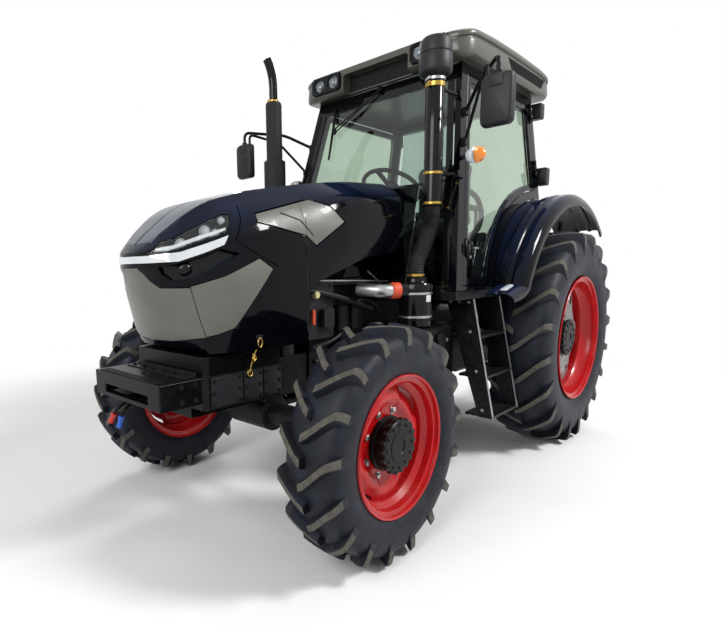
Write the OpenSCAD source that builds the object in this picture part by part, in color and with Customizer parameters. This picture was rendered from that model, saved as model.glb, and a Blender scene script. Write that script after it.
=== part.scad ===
// Four-wheel-drive farm tractor with a cab. X points forward, Y to its left, Z up.
// The origin is on the ground, midway along its length.

/* [Overall] */
// Distance between the axles
wheelbase = 2350; // [2200:5:2500]
// Front axle to the bumper's face
front_overhang = 820; // [760:5:900]
// Rear axle to the ends of the lower links
rear_overhang = 1150; // [1100:5:1250]

/* [Wheels] */
// Distance between the front tread centres
front_track = 1700; // [1660:5:1800]
// Distance between the rear tread centres
rear_track = 1640; // [1620:5:1760]
// Front tyre radius over the lugs
front_tyre_r = 552; // [530:1:565]
// Front tyre width
front_tyre_w = 290; // [260:2:300]
// Front rim flange radius
front_rim_r = 330; // [310:1:345]
// Front rim width over the flanges
front_rim_w = 260; // [230:2:266]
// Rear tyre radius over the lugs
rear_tyre_r = 795; // [770:1:810]
// Rear tyre width
rear_tyre_w = 430; // [400:2:440]
// Rear rim flange radius
rear_rim_r = 457; // [430:1:480]
// Rear rim width over the flanges
rear_rim_w = 400; // [370:2:410]
// Lugs on each half of a front tyre
front_lugs = 17; // [14:1:20]
// Front lug height
front_lug_h = 36; // [28:1:42]
// Front lug width
front_lug_w = 40; // [32:1:46]
// Lugs on each half of a rear tyre
rear_lugs = 20; // [16:1:24]
// Rear lug height
rear_lug_h = 42; // [34:1:48]
// Rear lug width
rear_lug_w = 46; // [38:1:52]
// Sweep of a lug round the tyre, degrees
lug_sweep = 13; // [10:0.5:15]
// Rim sheet thickness
rim_wall = 12; // [8:1:16]
// Height of the rim flange above the bead seat
flange_h = 25; // [18:1:30]
// Thickness of the wheel disc
disc_wall = 14; // [10:1:20]
// Front disc face outboard of the tread centre
front_disc_out = 30; // [20:1:40]
// Rear disc face outboard of the tread centre
rear_disc_out = 20; // [10:1:40]
// Holes in a front wheel disc
front_holes = 8; // [6:1:12]
// Holes in a rear wheel disc
rear_holes = 12; // [8:1:16]
// Seating gap between fixed pieces
seat_gap = 0.3; // [0.1:0.1:0.5]
// Running gap of turning fits
run_gap = 0.05; // [0.03:0.01:0.08]
// Gap between moving pieces
swing_gap = 6; // [5:0.5:8]

/* [Hubs] */
// Front hub radius
front_hub_r = 105; // [90:1:120]
// Rear hub radius
rear_hub_r = 130; // [110:1:150]
// Hub flange radius beyond the hub
hub_flange = 45; // [30:1:60]
// Hub flange thickness
hub_flange_t = 20; // [12:1:28]
// Hub length inboard of the disc
hub_in = 60; // [50:1:66]
// Front hub end outboard of the tread centre
front_hub_out = 118; // [100:1:128]
// Rear hub end outboard of the tread centre
rear_hub_out = 100; // [80:1:140]
// Spindle radius
spindle_r = 55; // [45:1:62]
// Spindle length inside the hub
spindle_in = 105; // [80:1:110]

/* [Front axle] */
// Kingpin distance from the centre line
kingpin_y = 700; // [690:1:705]
// Kingpin radius
kingpin_r = 25; // [20:1:30]
// Radius of the axle's end boss
boss_r = 68; // [60:1:72]
// Height of the axle's end boss
boss_h = 150; // [140:1:170]
// Knuckle plate thickness
knuckle_t = 26; // [20:1:26]
// Knuckle half width
knuckle_hw = 60; // [50:1:70]
// Axle tube radius
axle_tube_r = 62; // [55:1:68]
// Differential housing radius
diff_r = 100; // [90:1:105]
// Differential housing half length
diff_hl = 150; // [120:1:180]
// Steering arm length
arm_len = 190; // [170:1:205]
// Steering arm width
arm_w = 46; // [36:1:56]
// Track rod radius
track_rod_r = 16; // [12:1:20]
// Track rod pin radius
track_pin_r = 12; // [10:1:14]
// Track rod eye radius
track_eye_r = 26; // [22:1:30]
// Propeller shaft radius
shaft_r = 28; // [22:1:32]

/* [Driveline] */
// Engine rear face ahead of the rear axle
engine_x = 1250; // [1200:5:1300]
// Engine length
engine_len = 880; // [800:5:900]
// Engine half width
engine_hw = 215; // [190:1:225]
// Engine block bottom above the ground
engine_z = 590; // [582:1:620]
// Engine block height
engine_h = 545; // [520:5:550]
// Valve cover height
cover_h = 100; // [80:5:105]
// Valve cover half width
cover_hw = 120; // [90:5:140]
// Transmission half width
case_hw = 210; // [180:1:220]
// Transmission bottom above the ground
case_z = 500; // [470:5:510]
// Transmission height
case_h = 510; // [480:5:520]
// Transmission end behind the rear axle
case_rear = 330; // [300:5:345]
// Rear axle trumpet radius
trumpet_r = 120; // [100:1:140]
// Rear axle trumpet end from the centre line
trumpet_y = 560; // [530:1:575]

/* [Front frame] */
// Front box half width
box_hw = 325; // [300:1:330]
// Front box rear face ahead of the rear axle
box_x = 2455; // [2440:5:2480]
// Front box face behind the bumper's face
box_back = 220; // [200:5:240]
// Front box bottom above the ground
box_z = 715; // [705:1:730]
// Front box height
box_h = 157; // [140:1:165]
// Plinth height on the front box
plinth_h = 88; // [80:1:92]
// Plinth set-back from the box
plinth_in = 18; // [12:1:26]
// Front box plate thickness
plate_t = 14; // [10:1:18]
// Frame rail half width
rail_hw = 200; // [170:1:210]
// Frame rail bottom above the ground
rail_z = 660; // [650:1:680]
// Bumper half width
bumper_hw = 302; // [280:1:310]
// Bumper bottom above the ground
bumper_z = 750; // [740:1:760]
// Bumper height
bumper_h = 120; // [100:1:130]
// Bumper plate thickness
bumper_t = 20; // [14:1:26]
// Bumper slot half width
slot_hw = 200; // [160:1:220]
// Tow pin hole radius
tow_r = 16; // [14:1:18]
// Tow tongue half width
tongue_hw = 60; // [45:1:70]

/* [Bonnet] */
// Bonnet rear edge ahead of the rear axle
bonnet_x = 1500; // [1490:2:1510]
// Bonnet length
bonnet_len = 1610; // [1580:5:1640]
// Bonnet skirt above the ground
bonnet_z = 975; // [968:1:985]
// Bonnet height
bonnet_h = 887; // [870:1:900]
// Bonnet half width
bonnet_hw = 430; // [420:1:436]
// Bonnet wall thickness
bonnet_wall = 14; // [10:1:18]
// Hinge barrel radius
hinge_r = 14; // [12:1:16]
// Hinge pin radius
hinge_pin_r = 8; // [6:1:9]
// Hinge barrel length
hinge_len = 50; // [40:1:60]
// Hinge distance from the centre line
hinge_y = 190; // [160:1:210]
// Hinge axis behind the bonnet's edge
hinge_back = 18; // [16:1:20]
// Hinge axis below the bonnet's top
hinge_drop = 46; // [42:1:52]
// Hinge strap length
strap_len = 90; // [70:1:110]

/* [Cab] */
// Cab half width at the sill
cab_hw = 755; // [740:1:765]
// Cab sill above the ground
sill_z = 1200; // [1190:1:1210]
// Inward lean of the cab sides, degrees
side_lean = 7.4; // [6:0.1:8.5]
// Backward rake of the windscreen, degrees
screen_rake = 14; // [12:0.2:15]
// Windscreen foot ahead of the rear axle
screen_x = 1455; // [1440:1:1460]
// Roof underside above the ground
roof_z = 2590; // [2560:2:2620]
// Thickness of the cab sides and doors
side_t = 40; // [32:1:46]
// Front post width
post_w = 70; // [60:1:80]
// Top rail height
rail_w = 60; // [50:1:70]
// Gap around the doors
door_gap = 6; // [5:0.5:8]
// Door frame width
door_rim = 42; // [34:1:50]
// Glass thickness
glass_t = 6; // [5:0.5:8]
// Floor thickness
floor_t = 50; // [40:1:60]
// Wheelhouse wall outer face from the centre line
house_y = 590; // [580:1:596]
// Panel thickness of the cab base
panel_t = 12; // [8:1:16]
// Seat deck height over the floor
deck_h = 150; // [120:5:200]
// Seat deck length
deck_len = 600; // [560:5:640]
// Rear wall height over the floor
rear_wall_h = 270; // [240:5:320]
// Cab mount radius
mount_r = 45; // [38:1:55]
// Roof half width
roof_hw = 665; // [640:1:690]
// Roof height
roof_h = 195; // [170:1:205]
// Roof front edge ahead of the rear axle
roof_front = 1225; // [1210:1:1240]
// Roof overhang behind the cab
roof_back = 170; // [120:1:190]
// Roof corner radius
roof_corner = 120; // [80:5:140]
// Cowl half width
cowl_hw = 400; // [380:1:410]
// Cowl height over the floor
cowl_h = 650; // [630:1:660]
// Cowl face behind the bonnet's edge
cowl_back = 44; // [40:1:50]

/* [Doors] */
// Door hinge barrel radius
door_barrel_r = 11; // [9:1:12]
// Door hinge pin radius
door_pin_r = 5; // [4:0.5:6]
// Door hinge axis outside the cab side
door_axis_out = 14; // [13:0.5:16]
// Door hinge barrel length
door_barrel = 60; // [50:1:70]
// Hinge leaf length
leaf_len = 50; // [40:1:60]
// Hinge leaf thickness
leaf_t = 7; // [5:0.5:8]

/* [Wings] */
// Wing outer face outside the rear tyre
wing_gap = 245; // [225:1:250]
// Wing sheet thickness
wing_t = 12; // [8:1:16]
// Wing outer edge from the centre line
wing_y = 960; // [930:1:980]
// Wing lip depth
wing_lip = 70; // [50:1:90]
// Wing start above the horizontal, degrees
wing_start = 24; // [23.5:0.5:28]
// Wing sweep, degrees
wing_sweep = 104; // [96:1:116]
// Wing toe ahead of the rear axle
toe_x = 1140; // [1100:5:1150]
// Wing toe above the ground
toe_z = 1180; // [1170:1:1185]
// Wing toe lip
toe_lip = 45; // [30:1:50]
// Overlap of the wing toe and the wing, in degrees
toe_lap = 3; // [2:0.5:4]

/* [Side gear] */
// Side tank rear face ahead of the rear axle
tank_x = 1265; // [1255:1:1280]
// Side tank length
tank_len = 410; // [380:1:420]
// Side tank inner face from the centre line
tank_y = 330; // [310:1:350]
// Side tank width
tank_w = 320; // [280:1:330]
// Side tank bottom above the ground
tank_z = 600; // [580:1:640]
// Side tank height
tank_h = 400; // [380:1:410]
// Side tank edge radius
tank_edge = 40; // [25:1:60]
// Clearance from the rear tyre to the steps
step_gap = 45; // [35:1:65]
// Steps length
step_len = 390; // [340:5:400]
// Step depth
step_d = 180; // [150:1:200]
// Step rail thickness
step_t = 16; // [12:1:20]
// Lowest tread above the ground
step_z = 430; // [400:1:450]
// Step overhang beyond the sill at the lowest tread
step_out = 150; // [120:1:170]
// Exhaust distance from the centre line
exhaust_y = 548; // [540:1:560]
// Exhaust ahead of the rear axle
exhaust_x = 1640; // [1620:1:1650]
// Silencer radius
silencer_r = 76; // [66:1:80]
// Exhaust pipe radius
exhaust_r = 50; // [44:1:54]
// Tail pipe radius
tail_r = 31; // [26:1:36]
// Exhaust pipe wall
exhaust_wall = 5; // [3:0.5:8]
// Exhaust elbow height above the ground
elbow_z = 1055; // [1040:1:1060]
// Silencer bottom above the ground
silencer_z = 1390; // [1350:5:1420]
// Silencer length
silencer_len = 720; // [680:5:760]
// Tail pipe start above the ground
tail_z = 2500; // [2460:5:2520]
// Straight exhaust top above the ground
exhaust_top = 2600; // [2560:5:2620]
// Exhaust tip bend radius
bend_r = 300; // [250:5:340]
// Exhaust tip bend, degrees
bend_deg = 36; // [30:1:40]
// Intake distance from the centre line
intake_y = 560; // [555:1:570]
// Intake ahead of the rear axle
intake_x = 1405; // [1400:1:1420]
// Intake tube radius
intake_r = 54; // [48:1:60]
// Intake tube bottom above the ground
intake_z = 1715; // [1700:1:1740]
// Intake tube length
intake_len = 715; // [690:1:730]
// Precleaner radius
bowl_r = 95; // [85:1:105]
// Precleaner height
bowl_h = 215; // [190:1:230]
// Hose radius
hose_r = 46; // [40:1:50]
// Air cleaner can ahead of the rear axle
can_x = 1575; // [1560:1:1580]
// Air cleaner can radius
can_r = 98; // [90:1:102]
// Air cleaner can height
can_h = 256; // [240:1:270]
// Mirror head distance from the centre line
mirror_y = 985; // [960:1:1000]
// Mirror head ahead of the rear axle
mirror_x = 1510; // [1490:1:1530]
// Mirror head middle above the ground
mirror_z = 2185; // [2170:1:2220]
// Mirror head width
mirror_w = 184; // [170:1:200]
// Mirror head height
mirror_h = 280; // [260:1:310]
// Mirror head depth
mirror_d = 54; // [46:1:64]
// Mirror arm radius
mirror_arm_r = 12; // [10:1:14]

/* [Lamps] */
// Roof lamp radius
lamp_r = 44; // [36:1:48]
// Roof lamp depth
lamp_d = 24; // [18:1:32]
// Roof lamp middle over the roof's underside
lamp_up = 84; // [78:1:88]
// Inner roof lamp distance from the centre line
lamp_inner = 345; // [335:1:360]
// Outer roof lamp distance from the centre line
lamp_outer = 472; // [455:1:485]
// Lamp pod inner end from the centre line
pod_in = 285; // [270:1:285]
// Lamp pod outer end from the centre line
pod_out = 540; // [535:1:545]
// Lamp pod depth in the roof
pod_d = 75; // [60:1:90]
// Lamp pod height
pod_h = 116; // [108:1:122]
// Indicator length
signal_len = 90; // [70:1:100]
// Indicator radius
signal_r = 30; // [24:1:34]

/* [Cab inside] */
// Seat middle ahead of the rear axle
seat_x = 420; // [380:5:460]
// Seat half width
seat_hw = 260; // [230:5:280]
// Seat cushion length
seat_len = 480; // [440:5:500]
// Seat cushion thickness
seat_t = 120; // [100:5:140]
// Seat base height over the deck
seat_base = 220; // [180:5:260]
// Seat back height
seat_back = 620; // [560:5:680]
// Dashboard face ahead of the rear axle
dash_x = 1110; // [1090:5:1130]
// Dashboard half width
dash_hw = 230; // [200:5:260]
// Dashboard height over the floor
dash_h = 560; // [520:5:600]
// Steering wheel radius
wheel_r = 205; // [190:5:220]
// Steering wheel rim radius
wheel_rim = 15; // [12:1:18]
// Steering wheel spokes
spokes = 3; // [2:1:4]
// Steering column length
column_len = 150; // [130:5:180]
// Steering column tilt, degrees
column_tilt = 30; // [20:1:40]
// Steering column radius
column_r = 22; // [18:1:28]

/* [Lift] */
// Rockshaft and lower pins behind the rear axle
lift_x = 180; // [170:1:190]
// Rockshaft above the ground
rock_z = 1068; // [1060:1:1075]
// Rockshaft radius
rock_r = 36; // [32:1:40]
// Lift arm length
lift_len = 400; // [380:5:420]
// Lift arm distance from the centre line
lift_y = 290; // [280:1:300]
// Lift arm thickness
lift_t = 36; // [28:1:40]
// Lower pins above the ground
link_z = 470; // [455:1:480]
// Lower pin radius
link_pin_r = 14; // [12:1:16]
// Lower link thickness
link_t = 34; // [28:1:38]
// Lower link height
link_h = 76; // [60:1:84]
// Lower link ball hole radius
ball_r = 14.2; // [14:0.1:14.6]
// Lower link ball eye radius
eye_r = 46; // [40:1:50]
// Lift rod radius
lift_rod_r = 18; // [14:1:20]
// Lift rod pin radius
rod_pin_r = 11; // [9:1:12]
// Lift rod eye radius
rod_eye_r = 24; // [22:1:28]
// Gap of the lift rod's lower eye
eye_gap = 0.4; // [0.2:0.1:0.8]
// Power take-off stub radius
pto_r = 17.5; // [17.4:0.1:17.6]
// Power take-off stub length
pto_len = 90; // [76:1:110]
// Power take-off above the ground
pto_z = 640; // [620:1:660]
// Drawbar end behind the rear axle
drawbar_back = 720; // [680:5:760]
// Drawbar above the ground
drawbar_z = 440; // [430:1:450]
// Drawbar width
drawbar_w = 80; // [70:1:90]
// Drawbar thickness
drawbar_t = 32; // [28:1:40]
// Drawbar pin hole radius
drawbar_r = 16; // [14:1:18]
// Top link hole radius
top_r = 12.8; // [12.6:0.1:13]
// Top link bracket above the ground
top_z = 900; // [880:5:920]

/* [Hidden] */
$fn = 64;
front_x = wheelbase;
bumper_x = wheelbase + front_overhang;
rear_axle_x = rear_overhang - (wheelbase + front_overhang + rear_overhang) / 2;
engine_front = engine_x + engine_len;
case_top = case_z + case_h;
floor_z = sill_z - floor_t;
floor_top = sill_z;
side_len = (roof_z - sill_z) / cos(side_lean);
screen_len = (roof_z - sill_z) / cos(screen_rake);
box_front = bumper_x - box_back;
deck_z = box_z + box_h;
box_top = deck_z + plinth_h;
box_cut = box_hw - bumper_hw;
bonnet_top = bonnet_z + bonnet_h;
hinge_x = bonnet_x - hinge_back;
hinge_z = bonnet_top - hinge_drop;
knuckle_z = boss_h / 2 + swing_gap;
knuckle_y = boss_r + swing_gap;
arm_z = -knuckle_z - knuckle_t;
wing_r = rear_tyre_r + wing_gap;
arch_steps = 12;
side_foot = side_t * tan(side_lean);
screen_foot = 2 * glass_t * tan(screen_rake) + seat_gap;
sill_arc_r = (wing_r + seat_gap + side_foot) / cos(45 / arch_steps);
door_arc_r = wing_r + 2 * rail_w / 3 + rail_w / 2;
door_axis_x = post_w;
step_x = rear_tyre_r + step_gap;
link_len = rear_overhang - lift_x - eye_r;

// Shares of the height from rim flange to tread, and of the half width
tyre_shares = [[0.1, 0.9], [0.38, 1], [0.74, 0.95], [1, 0.55]];
// Lug shoulder as shares of its length from the middle, and of its height below the tips
shoulder_shares = [[-1, 2.2], [-1, 1], [-0.86, 0.55], [-0.5, 0.2]];
// Flat steps on a lug's crest, and its root below the tips in lug heights
crest_steps = 3;
lug_root_share = 3.5;
// Bonnet stations as shares of length, low edge, top, half width and top half width
bonnet_shares = [
    [0, 0.541, 1, 1, 0.63], [0.23, 0.485, 0.975, 0.98, 0.61], [0.512, 0.327, 0.906, 0.945, 0.57],
    [0.518, 0, 0.905, 0.945, 0.57], [0.714, 0, 0.834, 0.895, 0.5], [0.826, 0, 0.767, 0.8, 0.44],
    [0.873, 0, 0.716, 0.72, 0.4], [0.898, 0.096, 0.682, 0.66, 0.37], [0.96, 0.412, 0.589, 0.46, 0.27],
    [0.991, 0.468, 0.533, 0.26, 0.16], [1, 0.479, 0.515, 0.13, 0.09]];
// Inner faces of the bonnet, a wall thickness behind the outer ones
wall_share = bonnet_wall / bonnet_h;
reach_share = bonnet_wall / bonnet_len;
bonnet_inner = [for (i = [0 : len(bonnet_shares) - 2]) let(s = bonnet_shares[i])
    [s[0] - (i == 0 ? 1 : i > 2 ? 1 : 0) * reach_share, s[1] + (i > 6 ? 1 : -2) * wall_share, s[2],
        s[3], s[4]]];
// Bonnet section as shares of the step between side and top, and of the height
section_shares = [[0.06, 0], [0, 0.2], [0.07, 0.55], [0.42, 0.86], [1, 1]];
// Panels on the bonnet as shares of its length and height
grille_shares = [[0.658, 0.42], [0.716, 0.479], [0.78, 0.42], [1, 0.42], [1, 0.07], [0.838, 0.07],
    [0.795, 0.13], [0.666, 0.363]];
vent_shares = [[0.711, 0.705], [0.472, 0.817], [0.283, 0.701], [0.45, 0.556], [0.497, 0.6]];
// Lamps and bright strip as shares of the bonnet's half width and height
headlamp_shares = [[0.2, 0.52], [0.9, 0.6], [0.9, 0.72], [0.6, 0.7], [0.26, 0.58]];
strip_shares = [[0, 0.475], [0.3, 0.478], [0.9, 0.57], [0.9, 0.595], [0.3, 0.508], [0, 0.51]];
lamp_start_share = 0.76;
// Roof side outline as shares of its length and height
roof_shares = [[0, 0.16], [0, 0.5], [0.025, 0.72], [0.07, 0.87], [0.16, 0.97], [0.3, 1], [0.62, 1],
    [0.8, 0.95], [0.93, 0.86], [1, 0.77], [1, 0.08], [0.985, 0], [0.03, 0]];
// Wing section as shares of its width from the cab outwards, and of the lip depth above the cab's foot
wing_shares = [[0, 0], [0.5, 0], [0.53, 0.24], [0.69, 0.28], [0.715, 0.08], [0.745, 0.08],
    [0.77, 0.26], [0.9, 0.2], [0.96, -0.1], [1, -0.55], [1, -1]];
// Levels of the treads and of the lugs on a side rail
tread_shares = [0, 0.34, 0.68];
door_hinge_shares = [0.62, 0.92];
// Precleaner outline as shares of its radius and height
bowl_shares = [[0, 0], [0.64, 0], [1, 0.12], [1, 0.54], [0.93, 0.57], [0.93, 0.9], [0.8, 1], [0, 1]];
bracket_shares = [0.5, 0.85];
filter_shares = [0.57, 0.71];
// Bulge of an eye beyond its bar and of the hose at its bends
bulge_share = 1.06;
// Lower mirror arm as a share of the upper arm's radius
thin_share = 0.9;

function side_y(z) = cab_hw - (z - sill_z) * tan(side_lean);
function screen_at(z) = screen_x - (z - sill_z) * tan(screen_rake);
function slope(z) = (z - sill_z) / cos(side_lean);
function arc_point(r, a) = [r * cos(a), slope(rear_tyre_r + r * sin(a))];
function sill_angle(r, z) = asin((z - rear_tyre_r) / r);
function arc_points(r, a, b) = [for (i = [0 : arch_steps]) arc_point(r, a + (b - a) * i / arch_steps)];
function shares_at(list, x, z, w, h) = [for (p = list) [x + p[0] * w, z + p[1] * h]];

module at_axle() translate([rear_axle_x, 0, 0]) children();
module both_sides() {
    children();
    mirror([0, 1, 0]) children();
}
module span(x0, x1, y0, y1, z0, z1) translate([x0, y0, z0]) cube([x1 - x0, y1 - y0, z1 - z0]);
module rod(p, q, r) translate(p)
    rotate([0, acos((q - p)[2] / norm(q - p)), atan2((q - p)[1], (q - p)[0])])
        cylinder(h = norm(q - p), r = r);
module across(r, y0, y1) translate([0, y0, 0]) rotate([-90, 0, 0]) cylinder(h = y1 - y0, r = r);
module on_side() translate([0, cab_hw, sill_z]) rotate([90 + side_lean, 0, 0]) children();
module on_screen() translate([screen_x, 0, sill_z]) rotate([0, 0, -90])
    rotate([90 + screen_rake, 0, 0]) children();
module profile_y(hw) translate([0, hw, 0]) rotate([90, 0, 0]) linear_extrude(2 * hw) children();

// Wheels
// A lug stands with its middle on the X axis and slants from the shoulder to the middle of the tread
module lug(tip_r, tyre_w, lug_h, lug_w, hand) {
    half_t = tip_r * sin(lug_sweep / 2);
    slant = atan2(tyre_w / 2, 2 * half_t);
    lead = lug_w / 2 * sin(slant);
    step = asin((half_t + lead) / tip_r) / crest_steps;
    reach = tip_r / cos(step / 2);
    outer = half_t / cos(slant) - lug_w / 2 / tan(slant);
    crest = [for (i = [0 : crest_steps]) let(t = tip_r * sin(step * i))
        [sqrt(reach * reach - t * t), (t - lead) / cos(slant)]];
    shoulder = [for (p = shoulder_shares) [tip_r - p[1] * lug_h, p[0] * outer]];
    root = tip_r - lug_root_share * lug_h;
    translate([0, 0, hand * tyre_w / 4]) rotate([-hand * slant, 0, 0]) linear_extrude(lug_w, center = true)
        polygon(concat([[root, -outer]], shoulder, crest, [[root, crest[crest_steps][1]]]));
}
function lug_start(tip_r, tyre_w, lug_w) = let(half_t = tip_r * sin(lug_sweep / 2),
    slant = atan2(tyre_w / 2, 2 * half_t), span = asin((half_t + lug_w / 2 * sin(slant)) / tip_r))
    90 - span * (1 - 1 / (2 * crest_steps));

module tyre(tip_r, tyre_w, rim_r, rim_w, lugs, lug_h, lug_w) {
    seat = rim_w / 2 - rim_wall - seat_gap;
    half = [for (p = tyre_shares) [rim_r + p[0] * (tip_r - lug_h - rim_r), p[1] * tyre_w / 2]];
    foot = [[rim_r - flange_h + seat_gap, seat], [rim_r + seat_gap, seat]];
    up = concat(foot, half);
    down = [for (i = [len(up) - 1 : -1 : 0]) [up[i][0], -up[i][1]]];
    start = lug_start(tip_r, tyre_w, lug_w);
    rotate([-90, 0, 0]) {
        rotate_extrude() polygon(concat(up, down));
        for (i = [0 : lugs - 1], hand = [-1, 1])
            rotate([0, 0, start + (i + (1 - hand) / 4) * 360 / lugs])
                lug(tip_r, tyre_w, lug_h, lug_w, hand);
    }
}

module rim(rim_r, rim_w, disc_out, hub_r, hole_r, hole_at, holes) {
    seat_r = rim_r - flange_h;
    hw = rim_w / 2;
    rotate([-90, 0, 0]) difference() {
        rotate_extrude() {
            polygon([[seat_r - rim_wall, -hw], [rim_r, -hw], [rim_r, rim_wall - hw],
                [seat_r, rim_wall - hw],
                [seat_r, hw - rim_wall], [rim_r, hw - rim_wall], [rim_r, hw], [seat_r - rim_wall, hw]]);
            translate([hub_r + seat_gap, disc_out - disc_wall])
                square([seat_r - rim_wall / 2 - hub_r - seat_gap, disc_wall]);
        }
        for (i = [0 : holes - 1])
            rotate([0, 0, i * 360 / holes]) translate([hole_at, 0, disc_out - 2 * disc_wall])
                cylinder(h = 3 * disc_wall, r = hole_r);
    }
}

module hub(hub_r, disc_out, hub_out) {
    face = disc_out - disc_wall;
    rotate([-90, 0, 0]) difference() {
        union() {
            translate([0, 0, face - hub_in]) cylinder(h = hub_out - face + hub_in, r = hub_r);
            translate([0, 0, face - hub_flange_t]) cylinder(h = hub_flange_t, r = hub_r + hub_flange);
        }
        translate([0, 0, face - hub_in - swing_gap])
            cylinder(h = spindle_in + 2 * swing_gap, r = spindle_r + run_gap);
    }
}

module at_front_wheel() at_axle() translate([front_x, front_track / 2, front_tyre_r]) children();
module at_rear_wheel() at_axle() translate([0, rear_track / 2, rear_tyre_r]) children();
module front_tyre() color("#1b1c20") at_front_wheel()
    tyre(front_tyre_r, front_tyre_w, front_rim_r, front_rim_w, front_lugs, front_lug_h, front_lug_w);
module rear_tyre() color("#1b1c20") at_rear_wheel()
    tyre(rear_tyre_r, rear_tyre_w, rear_rim_r, rear_rim_w, rear_lugs, rear_lug_h, rear_lug_w);
module front_rim() color("#c4161c") at_front_wheel()
    rim(front_rim_r, front_rim_w, front_disc_out, front_hub_r, disc_wall, front_rim_r * 2 / 3, front_holes);
module rear_rim() color("#c4161c") at_rear_wheel()
    rim(rear_rim_r, rear_rim_w, rear_disc_out, rear_hub_r, 2 * disc_wall, rear_rim_r * 2 / 3, rear_holes);
module front_hub() color("#17181b") at_front_wheel() hub(front_hub_r, front_disc_out, front_hub_out);
module rear_hub() color("#17181b") at_rear_wheel() hub(rear_hub_r, rear_disc_out, rear_hub_out);
module tyre_front_left() front_tyre();
module tyre_front_right() mirror([0, 1, 0]) front_tyre();
module tyre_rear_left() rear_tyre();
module tyre_rear_right() mirror([0, 1, 0]) rear_tyre();
module rim_front_left() front_rim();
module rim_front_right() mirror([0, 1, 0]) front_rim();
module rim_rear_left() rear_rim();
module rim_rear_right() mirror([0, 1, 0]) rear_rim();
module hub_front_left() front_hub();
module hub_front_right() mirror([0, 1, 0]) front_hub();
module hub_rear_left() rear_hub();
module hub_rear_right() mirror([0, 1, 0]) rear_hub();

// Front axle
module at_kingpin() at_axle() translate([front_x, kingpin_y, front_tyre_r]) children();
module knuckle() color("#222326") at_kingpin() {
    hub_start = front_track / 2 - kingpin_y + front_disc_out - disc_wall - hub_in;
    for (z = [arm_z, knuckle_z]) {
        translate([0, 0, z]) cylinder(h = knuckle_t, r = knuckle_hw * bulge_share);
        span(-knuckle_hw, knuckle_hw, 0, knuckle_y + knuckle_t, z, z + knuckle_t);
    }
    span(-knuckle_hw, knuckle_hw, knuckle_y, knuckle_y + knuckle_t, arm_z, -arm_z);
    translate([0, 0, arm_z]) cylinder(h = -2 * arm_z, r = kingpin_r);
    across(spindle_r, knuckle_y, hub_start + spindle_in);
    span(-arm_len, -kingpin_r, -arm_w / 2, arm_w / 2, arm_z + knuckle_t / 8, arm_z + knuckle_t * 7 / 8);
    translate([-arm_len, 0, arm_z]) cylinder(h = knuckle_t, r = arm_w * 3 / 5);
    translate([-arm_len, 0, arm_z - 2 * track_eye_r]) cylinder(h = 2 * track_eye_r + knuckle_t,
        r = track_pin_r);
}
module knuckle_left() knuckle();
module knuckle_right() mirror([0, 1, 0]) knuckle();

module track_rod() color("#8b8d8e") at_axle() {
    y = kingpin_y;
    translate([front_x - arm_len, 0, front_tyre_r + arm_z - track_eye_r]) difference() {
        union() {
            across(track_rod_r, -y, y);
            for (s = [-y, y]) translate([0, s, -track_rod_r])
                cylinder(h = 2 * track_rod_r, r = track_eye_r);
        }
        for (s = [-y, y]) translate([0, s, -track_eye_r]) cylinder(h = 2 * track_eye_r,
            r = track_pin_r + run_gap);
    }
}

module front_axle() color("#1d1e21") at_axle() translate([front_x, 0, front_tyre_r]) difference() {
    union() {
        across(axle_tube_r, -kingpin_y, kingpin_y);
        across(diff_r, -diff_hl, diff_hl);
        for (s = [-1, 1]) translate([0, s * kingpin_y, -boss_h / 2]) cylinder(h = boss_h, r = boss_r);
        span(-diff_r * 2 / 3, diff_r * 2 / 3, -diff_hl, diff_hl, 0, rail_z - front_tyre_r);
        rod([0, 0, 0], [-2 * diff_r, 0, 0], 2 * shaft_r);
        rod([0, 0, 0], [engine_x - front_x, 0, 0], shaft_r);
    }
    for (s = [-1, 1]) translate([0, s * kingpin_y, -boss_h])
        cylinder(h = 2 * boss_h, r = kingpin_r + run_gap);
}

// Driveline
module engine_block() color("#232427") at_axle() {
    top = engine_z + engine_h;
    span(engine_x, engine_front, -engine_hw, engine_hw, engine_z, top);
    span(screen_x + 2 * swing_gap, engine_front - cover_h, -cover_hw, cover_hw, top, top + cover_h);
    span(engine_x + cover_h, engine_front - 2 * cover_h, -engine_hw - cover_h, -engine_hw,
        elbow_z - cover_h / 2,
        top - cover_h / 4);
    span(engine_x + 3 * cover_h, engine_front - 2 * cover_h, engine_hw, engine_hw + cover_h * 3 / 4,
        engine_z + 2 * cover_h, engine_z + 4 * cover_h);
    for (s = filter_shares) translate([engine_x + s * engine_len, engine_hw + cover_h / 4,
        top - 2 * cover_h])
        cylinder(h = 2 * cover_h, r = cover_h / 2);
}

module transmission() color("#1e1f22") at_axle() difference() {
    union() {
        span(-case_rear, engine_x, -case_hw, case_hw, case_z, case_top);
        span(-lift_x - 2 * rock_r, 2 * rock_r - lift_x, -case_hw, case_hw, case_top, rock_z + rock_r);
        rod([-case_rear, 0, pto_z], [-case_rear - pto_len, 0, pto_z], pto_r);
        for (s = [-1, 1])
            span(-case_rear - 5 * top_r, -case_rear, s * 3 * top_r - top_r, s * 3 * top_r + top_r,
                top_z - 3 * top_r,
                top_z + 3 * top_r);
        translate([-lift_x, 0, link_z]) across(2 * link_pin_r, swing_gap / 2 + link_t / 2 - lift_y,
            lift_y - link_t / 2 - swing_gap / 2);
        translate([-lift_x, 0, link_z]) across(link_pin_r, -lift_y - link_t, lift_y + link_t);
        span(-lift_x - 2 * link_pin_r, 2 * link_pin_r - lift_x, -case_hw / 2, case_hw / 2, link_z, case_z);
    }
    translate([-lift_x, 0, rock_z]) across(rock_r + run_gap, -2 * case_hw, 2 * case_hw);
    translate([-case_rear - 5 * top_r / 2, 0, top_z]) across(top_r, -case_hw, case_hw);
}

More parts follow.
